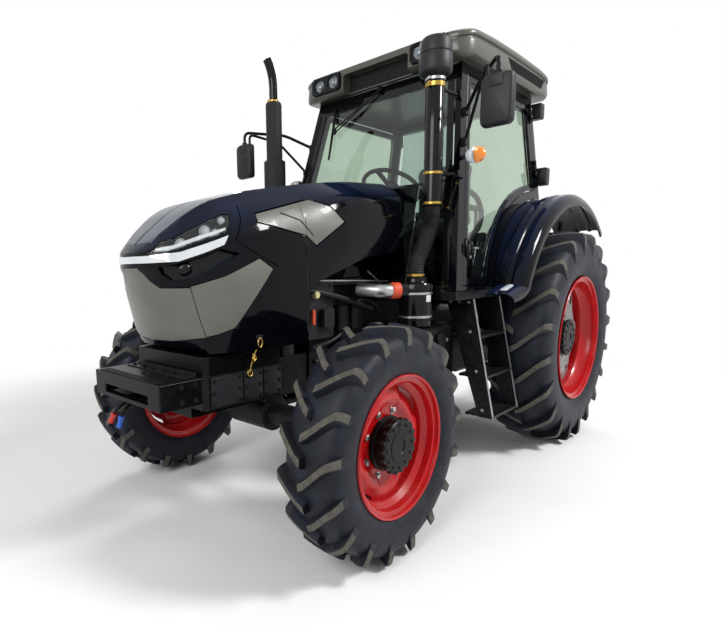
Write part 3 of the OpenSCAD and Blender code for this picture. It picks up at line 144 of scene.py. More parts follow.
@dataclass(frozen=True)
class Finish:
    """A real material and the way its surface was made."""
    name: str
    hex: str
    roughness: float
    metallic: float = 0.0
    coat: float = 0.0
    transmission: float = 0.0
    ior: float = 1.5
    sheen: float = 0.0
    layers: tuple[Layer, ...] = ()
    reliefs: tuple[Relief, ...] = ()

    def factor(self, tree: NodeTree, pattern: Pattern, size_mm: float) -> NodeSocket:
        """Gives the strength of a pattern over the surface.

        Args:
            tree: the material's node tree.
            pattern: the kind of pattern.
            size_mm: its real size.
        Returns:
            A socket with values from 0 to about 1.
        """
        where = add_node(tree, "TexCoord")
        spot = where.outputs["Object"]
        scale = 1 / (size_mm * MM)
        if pattern in (Pattern.WEAVE, Pattern.RIB):
            axes = ("X", "Y") if pattern is Pattern.WEAVE else ("Z",)
            waves = [add_node(tree, "TexWave", {"bands_direction": a},
                {"Vector": spot, "Scale": scale / tau * 2}).outputs["Fac"] for a in axes]
            if len(waves) == 1:
                return waves[0]
            return add_node(tree, "Math", {"operation": "MAXIMUM"}, dict(enumerate(waves))).outputs[0]
        detail = 8.0 if pattern is Pattern.GRIT else 4.0
        noise = add_node(tree, "TexNoise", {}, {"Vector": spot, "Scale": scale, "Detail": detail})
        if pattern in (Pattern.CLOUD, Pattern.GRIT):
            return noise.outputs["Fac"]
        if pattern is Pattern.EDGE:
            gauge = add_node(tree, "NewGeometry").outputs["Pointiness"]
        # Upward faces: the finishes use this pattern for a painted highlight from the sky.
        elif pattern is Pattern.TOP:
            gauge = add_node(tree, "SeparateXYZ", {}, {0: where.outputs["Normal"]}).outputs["Z"]
        else:
            height = add_node(tree, "SeparateXYZ", {}, {0: spot}).outputs["Z"]
            gauge = add_node(tree, "MapRange", {"clamp": True},
                {"Value": height, "From Min": 1.1, "From Max": 0.0}).outputs["Result"]
        spread = 0.1 if pattern is Pattern.EDGE else 0.5
        rough = add_node(tree, "Math", {"operation": "MULTIPLY_ADD"}, {0: noise.outputs["Fac"], 1: spread, 2: gauge})
        return add_node(tree, "Math", {"operation": "SUBTRACT"}, {0: rough.outputs[0], 1: spread / 2}).outputs[0]

    def material(self) -> Material:
        """Builds the material once and hands it out after that.

        Returns:
            The material.
        """
        known = bpy.data.materials.get(self.name)
        if known:
            return known
        made = bpy.data.materials.new(self.name)
        made.use_nodes = True
        tree = made.node_tree
        shader = tree.nodes["Principled BSDF"]
        plain = {"Base Color": linear(self.hex), "Roughness": self.roughness, "Metallic": self.metallic,
            "Coat Weight": self.coat, "Coat Roughness": 0.06, "Transmission Weight": self.transmission,
            "Sheen Weight": self.sheen}
        if not self.metallic:
            plain["IOR"] = self.ior
        for key, value in plain.items():
            shader.inputs[key].default_value = value
        colour: object = linear(self.hex)
        gloss: object = self.roughness
        for layer in self.layers:
            raw = self.factor(tree, layer.pattern, layer.size_mm)
            mask = add_node(tree, "MapRange", {"clamp": True},
                {"Value": raw, "From Min": layer.start, "From Max": layer.end, "To Max": layer.amount})
            fac = mask.outputs["Result"]
            tint = add_node(tree, "Mix", {"data_type": "RGBA"}, {0: fac, 6: colour, 7: linear(layer.hex)})
            dull = add_node(tree, "Mix", {"data_type": "FLOAT"}, {0: fac, 2: gloss, 3: layer.roughness})
            colour, gloss = tint.outputs[2], dull.outputs[0]
        if self.layers:
            tree.links.new(colour, shader.inputs["Base Color"])
            tree.links.new(gloss, shader.inputs["Roughness"])
        normal: dict = {}
        for relief in self.reliefs:
            height = self.factor(tree, relief.pattern, relief.size_mm)
            bump = add_node(tree, "Bump", {}, {"Height": height, "Distance": relief.depth_mm * MM, "Strength": 0.7,
                **normal})
            normal = {"Normal": bump.outputs["Normal"]}
        if self.reliefs:
            tree.links.new(normal["Normal"], shader.inputs["Normal"])
        return made


CLOUD, GRIT, TOP, LOW, EDGE, WEAVE, RIB = Pattern
DUST = "#8f8473"
# Sprayed two-pack enamel: a deep blue-black that mirrors the room, with a painted sky reflection that turns it paler
# blue where faces look up.
GLOSS_BLACK = Finish("sprayed_black_enamel", "#05060b", 0.07, ior=1.24,
    layers=(Layer(TOP, "#182544", 260, 0.85, 0.12, 0.3, 1.2),), reliefs=(Relief(CLOUD, 30, 0.01),))
# Baked powder coat on steel plate: even black with a low sheen and a faint pebble, its edges rubbed grey.
SATIN_BLACK = Finish("powder_coated_steel", "#08090a", 0.33, ior=1.22,
    layers=(Layer(LOW, DUST, 90, 0.1, 0.7, 0.45, 1.2), Layer(EDGE, "#3a3b3e", 30, 0.5, 0.3, 0.55, 0.63)),
    reliefs=(Relief(GRIT, 6, 0.04),))
# Painted iron casting: black brushed paint over a sand-cast skin, coarse and dull, dusted on its lower faces.
CAST_BLACK = Finish("painted_iron_casting", "#0e0f11", 0.5, ior=1.26,
    layers=(Layer(LOW, DUST, 70, 0.2, 0.85, 0.4, 1.1), Layer(CLOUD, "#1b1c1f", 55, 0.6, 0.45)),
    reliefs=(Relief(GRIT, 14, 0.35),))
# Satin lacquer on a moulded panel: warm grey, soft highlights, very fine grain.
GREY_PANEL = Finish("satin_grey_moulding", "#56574f", 0.38, coat=0.1,
    layers=(Layer(CLOUD, "#4d4e47", 160, 0.7, 0.45),), reliefs=(Relief(GRIT, 4, 0.03),))
# Rotomoulded roof skin: dark olive grey, with a painted highlight that turns it silver where it faces the sky.
ROOF_GREY = Finish("rotomoulded_roof_skin", "#47453d", 0.36, coat=0.2,
    layers=(Layer(TOP, "#7d7d77", 180, 0.85, 0.45, 0.35, 1.0),), reliefs=(Relief(GRIT, 5, 0.04),))
# Grained ABS: charcoal with a leather-like pebble that breaks up the light, and a painted highlight that makes upward
# faces a paler blue-grey.
BLACK_PLASTIC = Finish("grained_black_abs", "#1c1d20", 0.48, ior=1.34,
    layers=(Layer(TOP, "#2a2b30", 120, 0.4, 0.6, 0.5, 1.2),), reliefs=(Relief(GRIT, 5, 0.12),))
# Polished black ABS: wet-looking trims, tubes and lamp housings.
GLOSS_PLASTIC = Finish("polished_black_abs", "#08090b", 0.1, ior=1.32,
    layers=(Layer(CLOUD, "#0f1116", 120, 0.6, 0.14),))
# Moulded black plastic of the nose plates, made blue-grey all over as a painted reflection of the sky, with a soft
# sheen.
PAINTED_REFLECTION_PLASTIC = Finish("black_plastic_with_painted_reflection", "#333d4b", 0.3, coat=0.2,
    layers=(Layer(CLOUD, "#283140", 90, 0.6, 0.38),), reliefs=(Relief(GRIT, 5, 0.05),))
# Stoved wheel enamel: signal red with a wet gloss, thinly dusted low down.
RED_ENAMEL = Finish("stoved_red_wheel_enamel", "#b50f14", 0.26, coat=0.15, ior=1.38,
    layers=(Layer(CLOUD, "#9c0d12", 140, 0.5, 0.32), Layer(LOW, DUST, 60, 0.1, 0.7, 0.6, 1.2)),
    reliefs=(Relief(CLOUD, 10, 0.02),))
# Grey wheel enamel on the pressed rear disc, dulled by road film.
PALE_ENAMEL = Finish("stoved_pale_grey_enamel", "#7a7b79", 0.4, coat=0.1,
    layers=(Layer(LOW, DUST, 60, 0.25, 0.7, 0.4, 1.1), Layer(CLOUD, "#5e5c58", 45, 0.5, 0.6)))
# Moulded tyre rubber: blue-black sides with a faint brown bloom and fine mould marks.
TYRE_RUBBER = Finish("moulded_tyre_rubber", "#14161d", 0.52, ior=1.3,
    layers=(Layer(CLOUD, "#1b2030", 70, 0.8, 0.46), Layer(CLOUD, "#37342f", 150, 0.4, 0.75, 0.52, 0.75)),
    reliefs=(Relief(GRIT, 7, 0.12),))
# Scuffed lug crowns: the same rubber under trodden grey-tan dust.
LUG_CROWN = Finish("scuffed_dusty_tread_rubber", "#514d44", 0.85,
    layers=(Layer(GRIT, "#34322e", 26, 0.7, 0.75, 0.42, 0.62),), reliefs=(Relief(GRIT, 9, 0.4),))
# Toughened float glass: clear with a pale green body tint and a breath of road film.
TINTED_GLASS = Finish("toughened_green_glass", "#dde8d8", 0.02, transmission=1.0, ior=1.45,
    layers=(Layer(CLOUD, "#d4e1ce", 220, 0.6, 0.03),))
# Laminated windscreen glass: a stronger grey-green body, which darkens what is seen through it.
SCREEN_GLASS = Finish("laminated_grey_green_glass", "#c2d1c9", 0.02, transmission=1.0, ior=1.45,
    layers=(Layer(CLOUD, "#b8c8be", 260, 0.6, 0.03),))
# Clear polycarbonate lamp cover: colourless, faintly hazed.
LAMP_COVER = Finish("clear_polycarbonate", "#f6f8f9", 0.02, transmission=1.0, ior=1.35,
    layers=(Layer(CLOUD, "#eceff1", 60, 0.6, 0.04),))
# Vacuum-plated reflector bowl: a bright mirror with a slight ripple.
REFLECTOR = Finish("plated_reflector", "#d3d7da", 0.14, metallic=1.0, layers=(Layer(CLOUD, "#aeb3b8", 25, 0.6, 0.22),))
# Moulded optic of the lamp modules, unlit: milky white with a gloss.
LED_MODULE = Finish("moulded_white_optic", "#ccd2d8", 0.2, coat=0.3,
    layers=(Layer(RIB, "#b9c2ca", 5, 0.6, 0.25, 0.3, 0.9),))
# Bright nickel-chrome plating on the nose strip: a clean mirror.
CHROME = Finish("nickel_chrome_plating", "#e6e9eb", 0.08, metallic=1.0,
    layers=(Layer(CLOUD, "#cdd1d5", 120, 0.5, 0.14),))
# Zinc-plated steel of rods, bolts and pins: spangled pale grey.
ZINC_STEEL = Finish("zinc_plated_steel", "#a9abab", 0.34, metallic=1.0,
    layers=(Layer(CLOUD, "#8a8a84", 30, 0.6, 0.5),))
# Yellow-passivated clamps and latch wire: a warm straw metal with brown bloom.
BRASS_CLAMP = Finish("yellow_passivated_steel", "#b3934a", 0.32, metallic=1.0,
    layers=(Layer(CLOUD, "#8a6d2f", 40, 0.5, 0.45),))
# Heat-proof silicate paint on the exhaust: dead black, rough, browned in places.
HEAT_BLACK = Finish("heatproof_exhaust_paint", "#121213", 0.66, ior=1.35,
    layers=(Layer(CLOUD, "#221f1c", 60, 0.6, 0.8),), reliefs=(Relief(GRIT, 12, 1.2),))
# Wrapped rubber hose: matt black with a brownish bloom.
HOSE_RUBBER = Finish("wrapped_rubber_hose", "#171615", 0.58, ior=1.35, layers=(Layer(CLOUD, "#2a2826", 40, 0.6, 0.7),),
    reliefs=(Relief(GRIT, 5, 0.15),))
# Moulded silicone sleeve: orange red, soft and slightly chalky.
ORANGE_SILICONE = Finish("moulded_orange_silicone", "#cf4a22", 0.5, layers=(Layer(CLOUD, "#b33c18", 30, 0.5, 0.55),))
# Moulded acrylic lenses: deep colour with fine level optics, seven millimetres apart.
AMBER_LENS = Finish("moulded_amber_acrylic", "#e07a14", 0.12, coat=0.5,
    layers=(Layer(RIB, "#f09a2c", 7, 0.5, 0.12, 0.3, 0.9),))
RED_LENS = Finish("moulded_red_acrylic", "#b5161a", 0.12, coat=0.5,
    layers=(Layer(RIB, "#d22a26", 7, 0.5, 0.12, 0.3, 0.9),))
# Moulded polyethylene caps: flat bright colours, worn paler and darker in small spots.
BLUE_CAP = Finish("moulded_blue_cap", "#1f58b8", 0.45, layers=(Layer(CLOUD, "#194894", 12, 0.5, 0.5),))
RED_CAP = Finish("moulded_red_cap", "#bf2020", 0.45, layers=(Layer(CLOUD, "#9a1818", 12, 0.5, 0.5),))
CREAM_CAP = Finish("moulded_cream_cap", "#d9cf9a", 0.45, layers=(Layer(CLOUD, "#c4b983", 12, 0.5, 0.5),))
# Cast vinyl label, left blank: off-white with a dull film.
PALE_LABEL = Finish("blank_vinyl_label", "#c9cbc6", 0.5, layers=(Layer(CLOUD, "#bcbeb8", 30, 0.5, 0.55),))
# Silvered mirror glass: clean, a little dusty in patches.
MIRROR_GLASS = Finish("silvered_mirror", "#dfe4e6", 0.03, metallic=1.0,
    layers=(Layer(CLOUD, "#cbd1d4", 60, 0.4, 0.1),))
# Woven seat cloth: charcoal threads about two millimetres apart, drawn coarse enough to show.
SEAT_CLOTH = Finish("woven_seat_cloth", "#2b2c30", 0.9, sheen=0.4,
    layers=(Layer(CLOUD, "#3a3c42", 50, 0.6, 0.9), Layer(WEAVE, "#1d1e21", 4, 0.4, 0.9, 0.2, 0.9)),
    reliefs=(Relief(WEAVE, 4, 0.5),))
# Trowelled studio floor: near white, with a trace of unevenness.
FLOOR_PAINT = Finish("pale_studio_floor", "#f2f2f0", 0.9, layers=(Layer(CLOUD, "#ececea", 900, 0.5, 0.9),))


class Axis(Enum):
    """A row axis that a prism runs along."""
    X = 0
    Y = 1
    Z = 2


def across(axis: Axis, along: float, a: float, b: float) -> list[float]:
    """Gives a point from its place along an axis and its places in the other two."""
    rest = (a, b)
    return [*rest[:axis.value], along, *rest[axis.value:]]


def angles(steps: int, back: bool = False) -> list[float]:
    """Gives evenly spread angles of a full turn, the first once more at the end where asked."""
    return [tau * k / steps for k in range(steps + back)]


def crook(path: Sequence[Point], radius: float, steps: int = 6) -> list[Vector]:
    """Rounds the corners of a path of points.

    Args:
        path: the corner points in millimetres.
        radius: how far from a corner the rounding starts.
        steps: points in each rounded corner.
    Returns:
        The rounded path.
    """
    pts = [Vector(p) for p in path]
    out = [pts[0]]
    for a, b, c in zip(pts, pts[1:], pts[2:]):
        back, ahead = (a - b), (c - b)
        reach = min(radius, back.length / 2.01, ahead.length / 2.01)
        p, q = b + back.normalized() * reach, b + ahead.normalized() * reach
        for i in range(steps + 1):
            t = i / steps
            out.append(p * (1 - t) ** 2 + b * 2 * t * (1 - t) + q * t ** 2)
    out.append(pts[-1])
    return out


class Shape:
    """Collects faces in millimetres from the rear axle and turns them into a piece."""

    def __init__(self) -> None:
        """Starts with nothing drawn and the first finish in hand."""
        self.points: list[Vector] = []
        self.faces: list[tuple[int, ...]] = []
        self.marks: list[int] = []
        self.mark = 0
        self.hand = 1

    def at(self, p: Spot) -> Vector:
        """Moves a point to the side in hand, or back from it."""
        return Vector((p[0], self.hand * p[1], p[2]))

    def use(self, mark: int) -> "Shape":
        """Takes the finish with this number in hand."""
        self.mark = mark
        return self

    def less(self, tool: "Shape") -> "Shape":
        """Gives what is left when a tool is taken off."""
        return carve(self, tool, Carve.TAKE_OFF)

    def common(self, tool: "Shape") -> "Shape":
        """Gives what it shares with a tool."""
        return carve(self, tool, Carve.KEEP_COMMON)

    def add(self, points: Iterable[Spot], faces: Iterable[Sequence[int]]) -> None:
        """Adds points and the faces between them in the finish in hand.

        Args:
            points: the points.
            faces: the faces, counted from the first of them.
        """
        start = len(self.points)
        self.points += [self.at(p) for p in points]
        for face in faces:
            self.faces.append(tuple(start + i for i in face))
            self.marks.append(self.mark)

    def loft(self, rings: Sequence[Sequence[Spot]], caps: bool = True, closed: bool = True) -> None:
        """Joins rings of equal length into a skin.

        Args:
            rings: the rings in order.
            caps: whether the first and last ring are filled.
            closed: whether each ring closes on itself.
        """
        n = len(rings[0])
        faces = [(i * n + j, i * n + (j + 1) % n, (i + 1) * n + (j + 1) % n, (i + 1) * n + j) for i in
            range(len(rings) - 1) for j in range(n if closed else n - 1)]
        if caps:
            faces += [tuple(range(n))[::-1], tuple(range((len(rings) - 1) * n, len(rings) * n))]
        self.add([p for ring in rings for p in ring], faces)

    def box(self, low: Point, high: Point) -> None:
        """Adds a block between two corners."""
        self.loft([[(x, low[1], low[2]), (x, high[1], low[2]), (x, high[1], high[2]), (x, low[1], high[2])] for x in
            (low[0], high[0])])

    def prism(self, outline: Flat, axis: Axis, start: float, end: float) -> None:
        """Runs an outline along an axis; it is drawn in the other two."""
        self.loft([[across(axis, along, a, b) for a, b in outline] for along in (start, end)])

    def slab(self, axis: Axis, spot: tuple[float, float], half: tuple[float, float], radius: float,
            levels: Flat) -> None:
        """Adds a plate with round corners.

        Args:
            axis: the axis that it lies across.
            spot: its middle in the other two axes.
            half: its half sizes in them.
            radius: its corner radius.
            levels: places along the axis, each with how far the edge is drawn in there.
        """
        self.loft([[across(axis, along, spot[0] + a, spot[1] + b) for a,
            b in rounded(half[0] - inset, half[1] - inset, radius)] for along, inset in levels])

    def turn(self, profile: Flat, centre: Spot, axis: Spot, steps: int = 48, closed: bool = False) -> None:
        """Turns a profile about an axis.

        Args:
            profile: pairs of radius and distance along the axis.
            centre: a point on the axis.
            axis: the direction of the axis.
            steps: how many steps a full turn has.
            closed: whether the profile closes on itself.
        """
        way, middle = self.at(axis).normalized(), self.at(centre)
        side = way.orthogonal().normalized()
        up = way.cross(side)
        rows = [[self.at(middle + way * h + (side * cos(a) + up * sin(a)) * r) for r, h in profile] for a in
            angles(steps)]
        n = len(profile)
        faces = []
        for i in range(steps):
            k = (i + 1) % steps
            for j in range(n if closed else n - 1):
                m = (j + 1) % n
                faces.append((i * n + j, i * n + m, k * n + m, k * n + j))
        self.add([p for row in rows for p in row], faces)

    def tube(self, path: Sequence[Spot], radius: object, sides: int = 14, caps: bool = True) -> None:
        """Adds a round tube along a path.

        Args:
            path: points in millimetres.
            radius: one radius, or one for each point.
            sides: sides of the tube.
            caps: whether its ends are filled.
        """
        pts = [self.at(p) for p in path]
        radii = [float(radius)] * len(pts) if isinstance(radius, (int, float)) else list(radius)
        way = (pts[1] - pts[0]).normalized()
        side = way.orthogonal().normalized()
        rings = []
        for i, p in enumerate(pts):
            ahead = (pts[min(i + 1, len(pts) - 1)] - pts[max(i - 1, 0)]).normalized()
            side = (side - ahead * side.dot(ahead)).normalized()
            up = ahead.cross(side)
            rings.append([self.at(p + (side * cos(a) + up * sin(a)) * radii[i]) for a in angles(sides)])
        self.loft(rings, caps)

    def bolt(self, centre: Spot, axis: Spot, size: float) -> None:
        """Adds a hexagon head on its washer, standing out along the axis.

        Args:
            centre: where it stands.
            axis: the way it points.
            size: its head's width.
        """
        self.turn([(0, 0), (size * 0.72, 0), (size * 0.72, size * 0.12), (0, size * 0.12)], centre, axis, 18)
        self.turn([(0, 0), (size * 0.5, 0), (size * 0.5, size * 0.42), (size * 0.42, size * 0.5), (0, size * 0.5)],
            centre, axis, 6)

    def mesh(self, name: str) -> Mesh:
        """Gives the collected faces as a mesh in metres, its normals facing out.

        Args:
            name: the mesh's name.
        Returns:
            The mesh.
        """
        made = bpy.data.meshes.new(name)
        made.from_pydata([place(p) for p in self.points], [], self.faces)
        for face, mark in zip(made.polygons, self.marks):
            face.material_index = mark
        work = bmesh.new()
        work.from_mesh(made)
        bmesh.ops.remove_doubles(work, verts=work.verts, dist=SAME * MM)
        bmesh.ops.recalc_face_normals(work, faces=work.faces)
        work.to_mesh(made)
        work.free()
        return made

    def piece(self, name: str, slot: str, *finishes: Finish, body: str = CHASSIS, bevel: float = 0.0,
            smooth: float = 32.0, stands_for: Sequence[str] = ()) -> Object:
        """Makes the piece, dresses it and lets it ride.

        Args:
            name: the piece's name.
            slot: a finish slot's name; not used.
            finishes: its finishes, in the order of the marks.
            body: the body that it moves with.
            bevel: width of the rounded edges in millimetres.
            smooth: angle in degrees below which edges are shaded smooth.
            stands_for: CAD nodes that it replaces.
        Returns:
            The new object.
        """
        return dress(stand(name, self.mesh(name)), body, finishes, bevel, smooth, stands_for=stands_for)


def both_sides(*shapes: Shape) -> Iterator[int]:
    """Lets a loop draw on the left and then, with the same finishes in hand, on the right.

    Args:
        shapes: the shapes that the loop draws on.
    Returns:
        The two hands, 1 and -1.
    """
    marks = [shape.mark for shape in shapes]
    for hand in (1, -1):
        for shape, mark in zip(shapes, marks):
            shape.hand, shape.mark = hand, mark
        yield hand
    for shape in shapes:
        shape.hand = 1


def dress(made: Object, body: str, finishes: Sequence[Finish], bevel: float = 0.0, smooth: float = 32.0,
        rounds: int = 0, stands_for: Sequence[str] = ()) -> Object:
    """Finishes a new object and ties it to its body.

    Args:
        made: the object.
        body: the body that it moves with.
        finishes: its finishes, in the order of the marks.
        bevel: width of the rounded edges in millimetres.
        smooth: angle in degrees below which edges are shaded smooth.
        rounds: levels of subdivision.
        stands_for: CAD nodes that it replaces.
    Returns:
        The object.
    """
    for finish in finishes:
        made.data.materials.append(finish.material())
    soften(made, bevel, smooth, rounds)
    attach(made, body)
    if stands_for:
        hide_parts(*stands_for)
    LOG.info("piece %s rides on %s", made.name, body)
    return made


def edges(made: Object, width: float, angle: float) -> BevelModifier:
    """Rounds the edges of an object.

    Args:
        made: the object.
        width: width of the rounding in millimetres.
        angle: the angle in degrees from which an edge is rounded.
    Returns:
        The modifier that does it.
    """
    edge = made.modifiers.new("edges", "BEVEL")
    edge.width, edge.segments = width * MM, 2
    edge.limit_method, edge.angle_limit = "ANGLE", radians(angle)
    return edge


def soften(made: Object, bevel: float, smooth: float, rounds: int) -> None:
    """Shades the object smooth below an angle, and rounds its edges where asked.

    Args:
        made: the object.
        bevel: width of the rounded edges in millimetres.
        smooth: angle in degrees below which edges are shaded smooth.
        rounds: levels of subdivision.
    """
    for face in made.data.polygons:
        face.use_smooth = True
    made.data.set_sharp_from_angle(angle=radians(smooth))
    if rounds:
        made.modifiers.new("rounding", "SUBSURF").render_levels = rounds
        made.modifiers["rounding"].levels = rounds
    if bevel:
        edges(made, bevel, max(smooth, 30.0)).harden_normals = True


def paint(node: str, finish: Finish, bevel: float = 0.0) -> None:
    """Gives a CAD node its finish, joins its facets and rounds its edges.

    Args:
        node: the node's name.
        finish: its finish.
        bevel: width of its rounded edges in millimetres.
    """
    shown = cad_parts[node]
    for spot in shown.material_slots:
        spot.material = finish.material()
    weld = shown.modifiers.new("joined facets", "WELD")
    weld.merge_threshold = SAME * MM
    if bevel:
        edges(shown, bevel, 40)
    LOG.info("node %s in %s", node, finish.name)


@dataclass
class Studio:
    """Camera, soft lights, floor and world."""
    spot: Point = (3.270, 2.181, 1.355)
    yaw: float = -134.09
    pitch: float = -8.55
    roll: float = -1.11
    focus_px: float = 513.0
    centre_px: tuple[float, float] = (278.6, 345.7)
    size_px: tuple[int, int] = (724, 632)
    sensor: float = 36.0
    floor: float = 40.0
    fade: tuple[float, float] = (2.9, 5.6)
    fill: float = 0.42
    # Soft lamps: name, place and aim in metres, size and power
    lamps: tuple[tuple[str, Point, Point, float, float], ...] = (("key", (-2.5, 6.5, 6.5), (0, 0, 0.9), 1.8, 660),
        ("front", (7.0, 1.0, 4.5), (0.6, 0, 1.2), 4.0, 330), ("back", (-5.0, -5.0, 5.5), (-0.5, 0, 1.4), 4.0, 300))

    def camera(self) -> None:
        """Sets the camera to the view that the four wheels were matched from."""
        yaw, pitch, roll = (radians(v) for v in (self.yaw, self.pitch, self.roll))
        ahead = Vector((cos(pitch) * cos(yaw), cos(pitch) * sin(yaw), sin(pitch)))
        right = ahead.cross(Vector(UP)).normalized()
        up = right.cross(ahead)
        tilted = right * cos(roll) + up * sin(roll)
        upright = up * cos(roll) - right * sin(roll)
        lens = bpy.data.cameras.new("camera")
        lens.sensor_width = self.sensor
        lens.lens = self.focus_px / self.size_px[0] * self.sensor
        lens.shift_x = (self.size_px[0] / 2 - self.centre_px[0]) / self.size_px[0]
        lens.shift_y = (self.centre_px[1] - self.size_px[1] / 2) / self.size_px[0]
        lens.clip_end = 200
        view = stand("camera", lens)
        view.matrix_world = Matrix((tilted, upright, -ahead)).transposed().to_4x4()
        view.matrix_world.translation = Vector(self.spot)
        bpy.context.scene.camera = view

    def lamp(self, name: str, spot: Point, aim: Point, size: float, power: float) -> None:
        """Adds one large soft lamp that looks at a point.

        Args:
            name: the lamp's name.
            spot: its place in metres.
            aim: the point that it looks at.
            size: its square's side in metres.
            power: its power in watts.
        """
        light = bpy.data.lights.new(name, "AREA")
        light.energy, light.size = power, size
        held = stand(name, light)
        held.location = spot
        held.rotation_euler = (Vector(aim) - Vector(spot)).to_track_quat("-Z", "Y").to_euler()
        held.visible_camera = held.visible_transmission = False

    def seen(self, tree: NodeTree) -> NodeSocket:
        """Gives 1 for rays from the camera, through glass or off gloss, and 0 for those that light the scene.

        Args:
            tree: takes the nodes.
        Returns:
            The socket.
        """
        path = add_node(tree, "LightPath")
        first = add_node(tree, "Math", {"operation": "MAXIMUM"},
            {0: path.outputs["Is Camera Ray"], 1: path.outputs["Is Transmission Ray"]})
        return add_node(tree, "Math", {"operation": "MAXIMUM"},
            {0: first.outputs[0], 1: path.outputs["Is Glossy Ray"]}).outputs[0]

    def world(self) -> None:
        """Lights from all round, and shows white where rays leave the scene."""
        sky = bpy.data.worlds.new("studio")
        bpy.context.scene.world = sky
        sky.use_nodes = True
        tree = sky.node_tree
        tree.nodes.clear()
        plain = add_node(tree, "Background", {}, {"Color": linear("#dfe4ea"), "Strength": self.fill})
        white = add_node(tree, "Background", {}, {"Color": (1, 1, 1, 1), "Strength": 1.0})
        mixed = add_node(tree, "MixShader", {}, {0: self.seen(tree), 1: plain.outputs[0], 2: white.outputs[0]})
        add_node(tree, "OutputWorld", {}, {"Surface": mixed.outputs[0]})

    def ground(self) -> None:
        """Lays the pale floor that keeps the shadow and fades into white."""
        half = self.floor / 2
        sheet = bpy.data.meshes.new("floor")
        sheet.from_pydata([(-half, -half, 0), (half, -half, 0), (half, half, 0), (-half, half, 0)], [], [(0, 1, 2, 3)])
        floor = stand("floor", sheet)
        made = FLOOR_PAINT.material()
        tree = made.node_tree
        spot = add_node(tree, "TexCoord").outputs["Object"]
        away = add_node(tree, "VectorMath", {"operation": "LENGTH"}, {0: spot}).outputs["Value"]
        fade = add_node(tree, "MapRange", {"interpolation_type": "SMOOTHSTEP"},
            {"Value": away, "From Min": self.fade[0], "From Max": self.fade[1]}).outputs["Result"]
        share = add_node(tree, "Math", {"operation": "MULTIPLY"}, {0: fade, 1: self.seen(tree)}).outputs[0]
        white = add_node(tree, "Emission", {}, {"Color": (1, 1, 1, 1), "Strength": 1.0})
        mixed = add_node(tree, "MixShader", {}, {0: share, 1: tree.nodes["Principled BSDF"].outputs[0],
            2: white.outputs[0]})
        tree.links.new(mixed.outputs[0], tree.nodes["Material Output"].inputs["Surface"])
        sheet.materials.append(made)

    def build(self) -> None:
        """Sets up the whole studio."""
        bpy.context.scene.view_settings.view_transform = "Standard"
        self.camera()
        self.world()
        self.ground()
        for row in self.lamps:
            self.lamp(*row)


class Carve(Enum):
    """How one solid works on another."""
    TAKE_OFF = "DIFFERENCE"
    KEEP_COMMON = "INTERSECT"


def carve(base: Shape, tool: Shape, how: Carve) -> Shape:
    """Works one closed solid with another.

    Args:
        base: the solid that is worked.
        tool: the solid that works it.
        how: whether the tool takes off or keeps the common part.
    Returns:
        The worked solid as a new shape.
    """
    held = [stand(tag, part.mesh(tag)) for tag, part in (("carved", base), ("carver", tool))]
    work = held[0].modifiers.new("carve", "BOOLEAN")
    work.operation, work.object, work.solver = how.value, held[1], "MANIFOLD"
    done = held[0].evaluated_get(bpy.context.evaluated_depsgraph_get()).to_mesh()
    out = Shape()
    out.add([(v.co.x / MM - REAR_AXLE, v.co.y / MM, v.co.z / MM) for v in done.vertices],
        [tuple(p.vertices) for p in done.polygons])
    for made in held:
        mesh = made.data
        bpy.data.objects.remove(made)
        bpy.data.meshes.remove(mesh)
    return out


def curve(rows: Flat, at: float) -> float:
    """Runs a smooth curve through pairs of place and value and reads it at a place.

    Args:
        rows: the pairs, in order of their places.
        at: the place.
    Returns:
        The value there.
    """
    i = max(k for k in range(len(rows) - 1) if k == 0 or rows[k][0] <= at)
    slopes = [(b[1] - a[1]) / (b[0] - a[0]) for a, b in zip(rows, rows[1:])]
    steps = [b[0] - a[0] for a, b in zip(rows, rows[1:])]

    def lean(k: int) -> float:
        """Gives the curve's slope at a row.

        Args:
            k: the row's number.
        Returns:
            The slope.
        """
        if k in (0, len(rows) - 1):
            return slopes[min(k, len(slopes) - 1)]
        return (steps[k - 1] * slopes[k] + steps[k] * slopes[k - 1]) / (steps[k - 1] + steps[k])

    h = steps[i]
    u = (at - rows[i][0]) / h
    return ((1 + 2 * u) * (1 - u) ** 2 * rows[i][1] + u * (1 - u) ** 2 * h * lean(i) + u * u * (3 - 2 * u) *
        rows[i + 1][1] + u * u * (u - 1) * h * lean(i + 1))


def swell(outline: Flat, by: float) -> list[tuple[float, float]]:
    """Moves the sides of a closed outline outwards by a distance, or inwards where it is negative.

    Args:
        outline: its corners in order.
        by: the distance.
    Returns:
        The new outline.
    """
    n = len(outline)
    area = sum(outline[i][0] * outline[(i + 1) % n][1] - outline[(i + 1) % n][0] * outline[i][1] for i in range(n))
    turn = 1 if area > 0 else -1
    out = []
    for i in range(n):
        (ax, ay), (bx, by_), (cx, cy) = outline[i - 1], outline[i], outline[(i + 1) % n]
        first = Vector((by_ - ay, ax - bx)).normalized() * turn
        second = Vector((cy - by_, bx - cx)).normalized() * turn
        mean = (first + second).normalized()
        reach = by / max(0.45, mean.dot(first))
        out.append((bx + mean.x * reach, by_ + mean.y * reach))
    return out


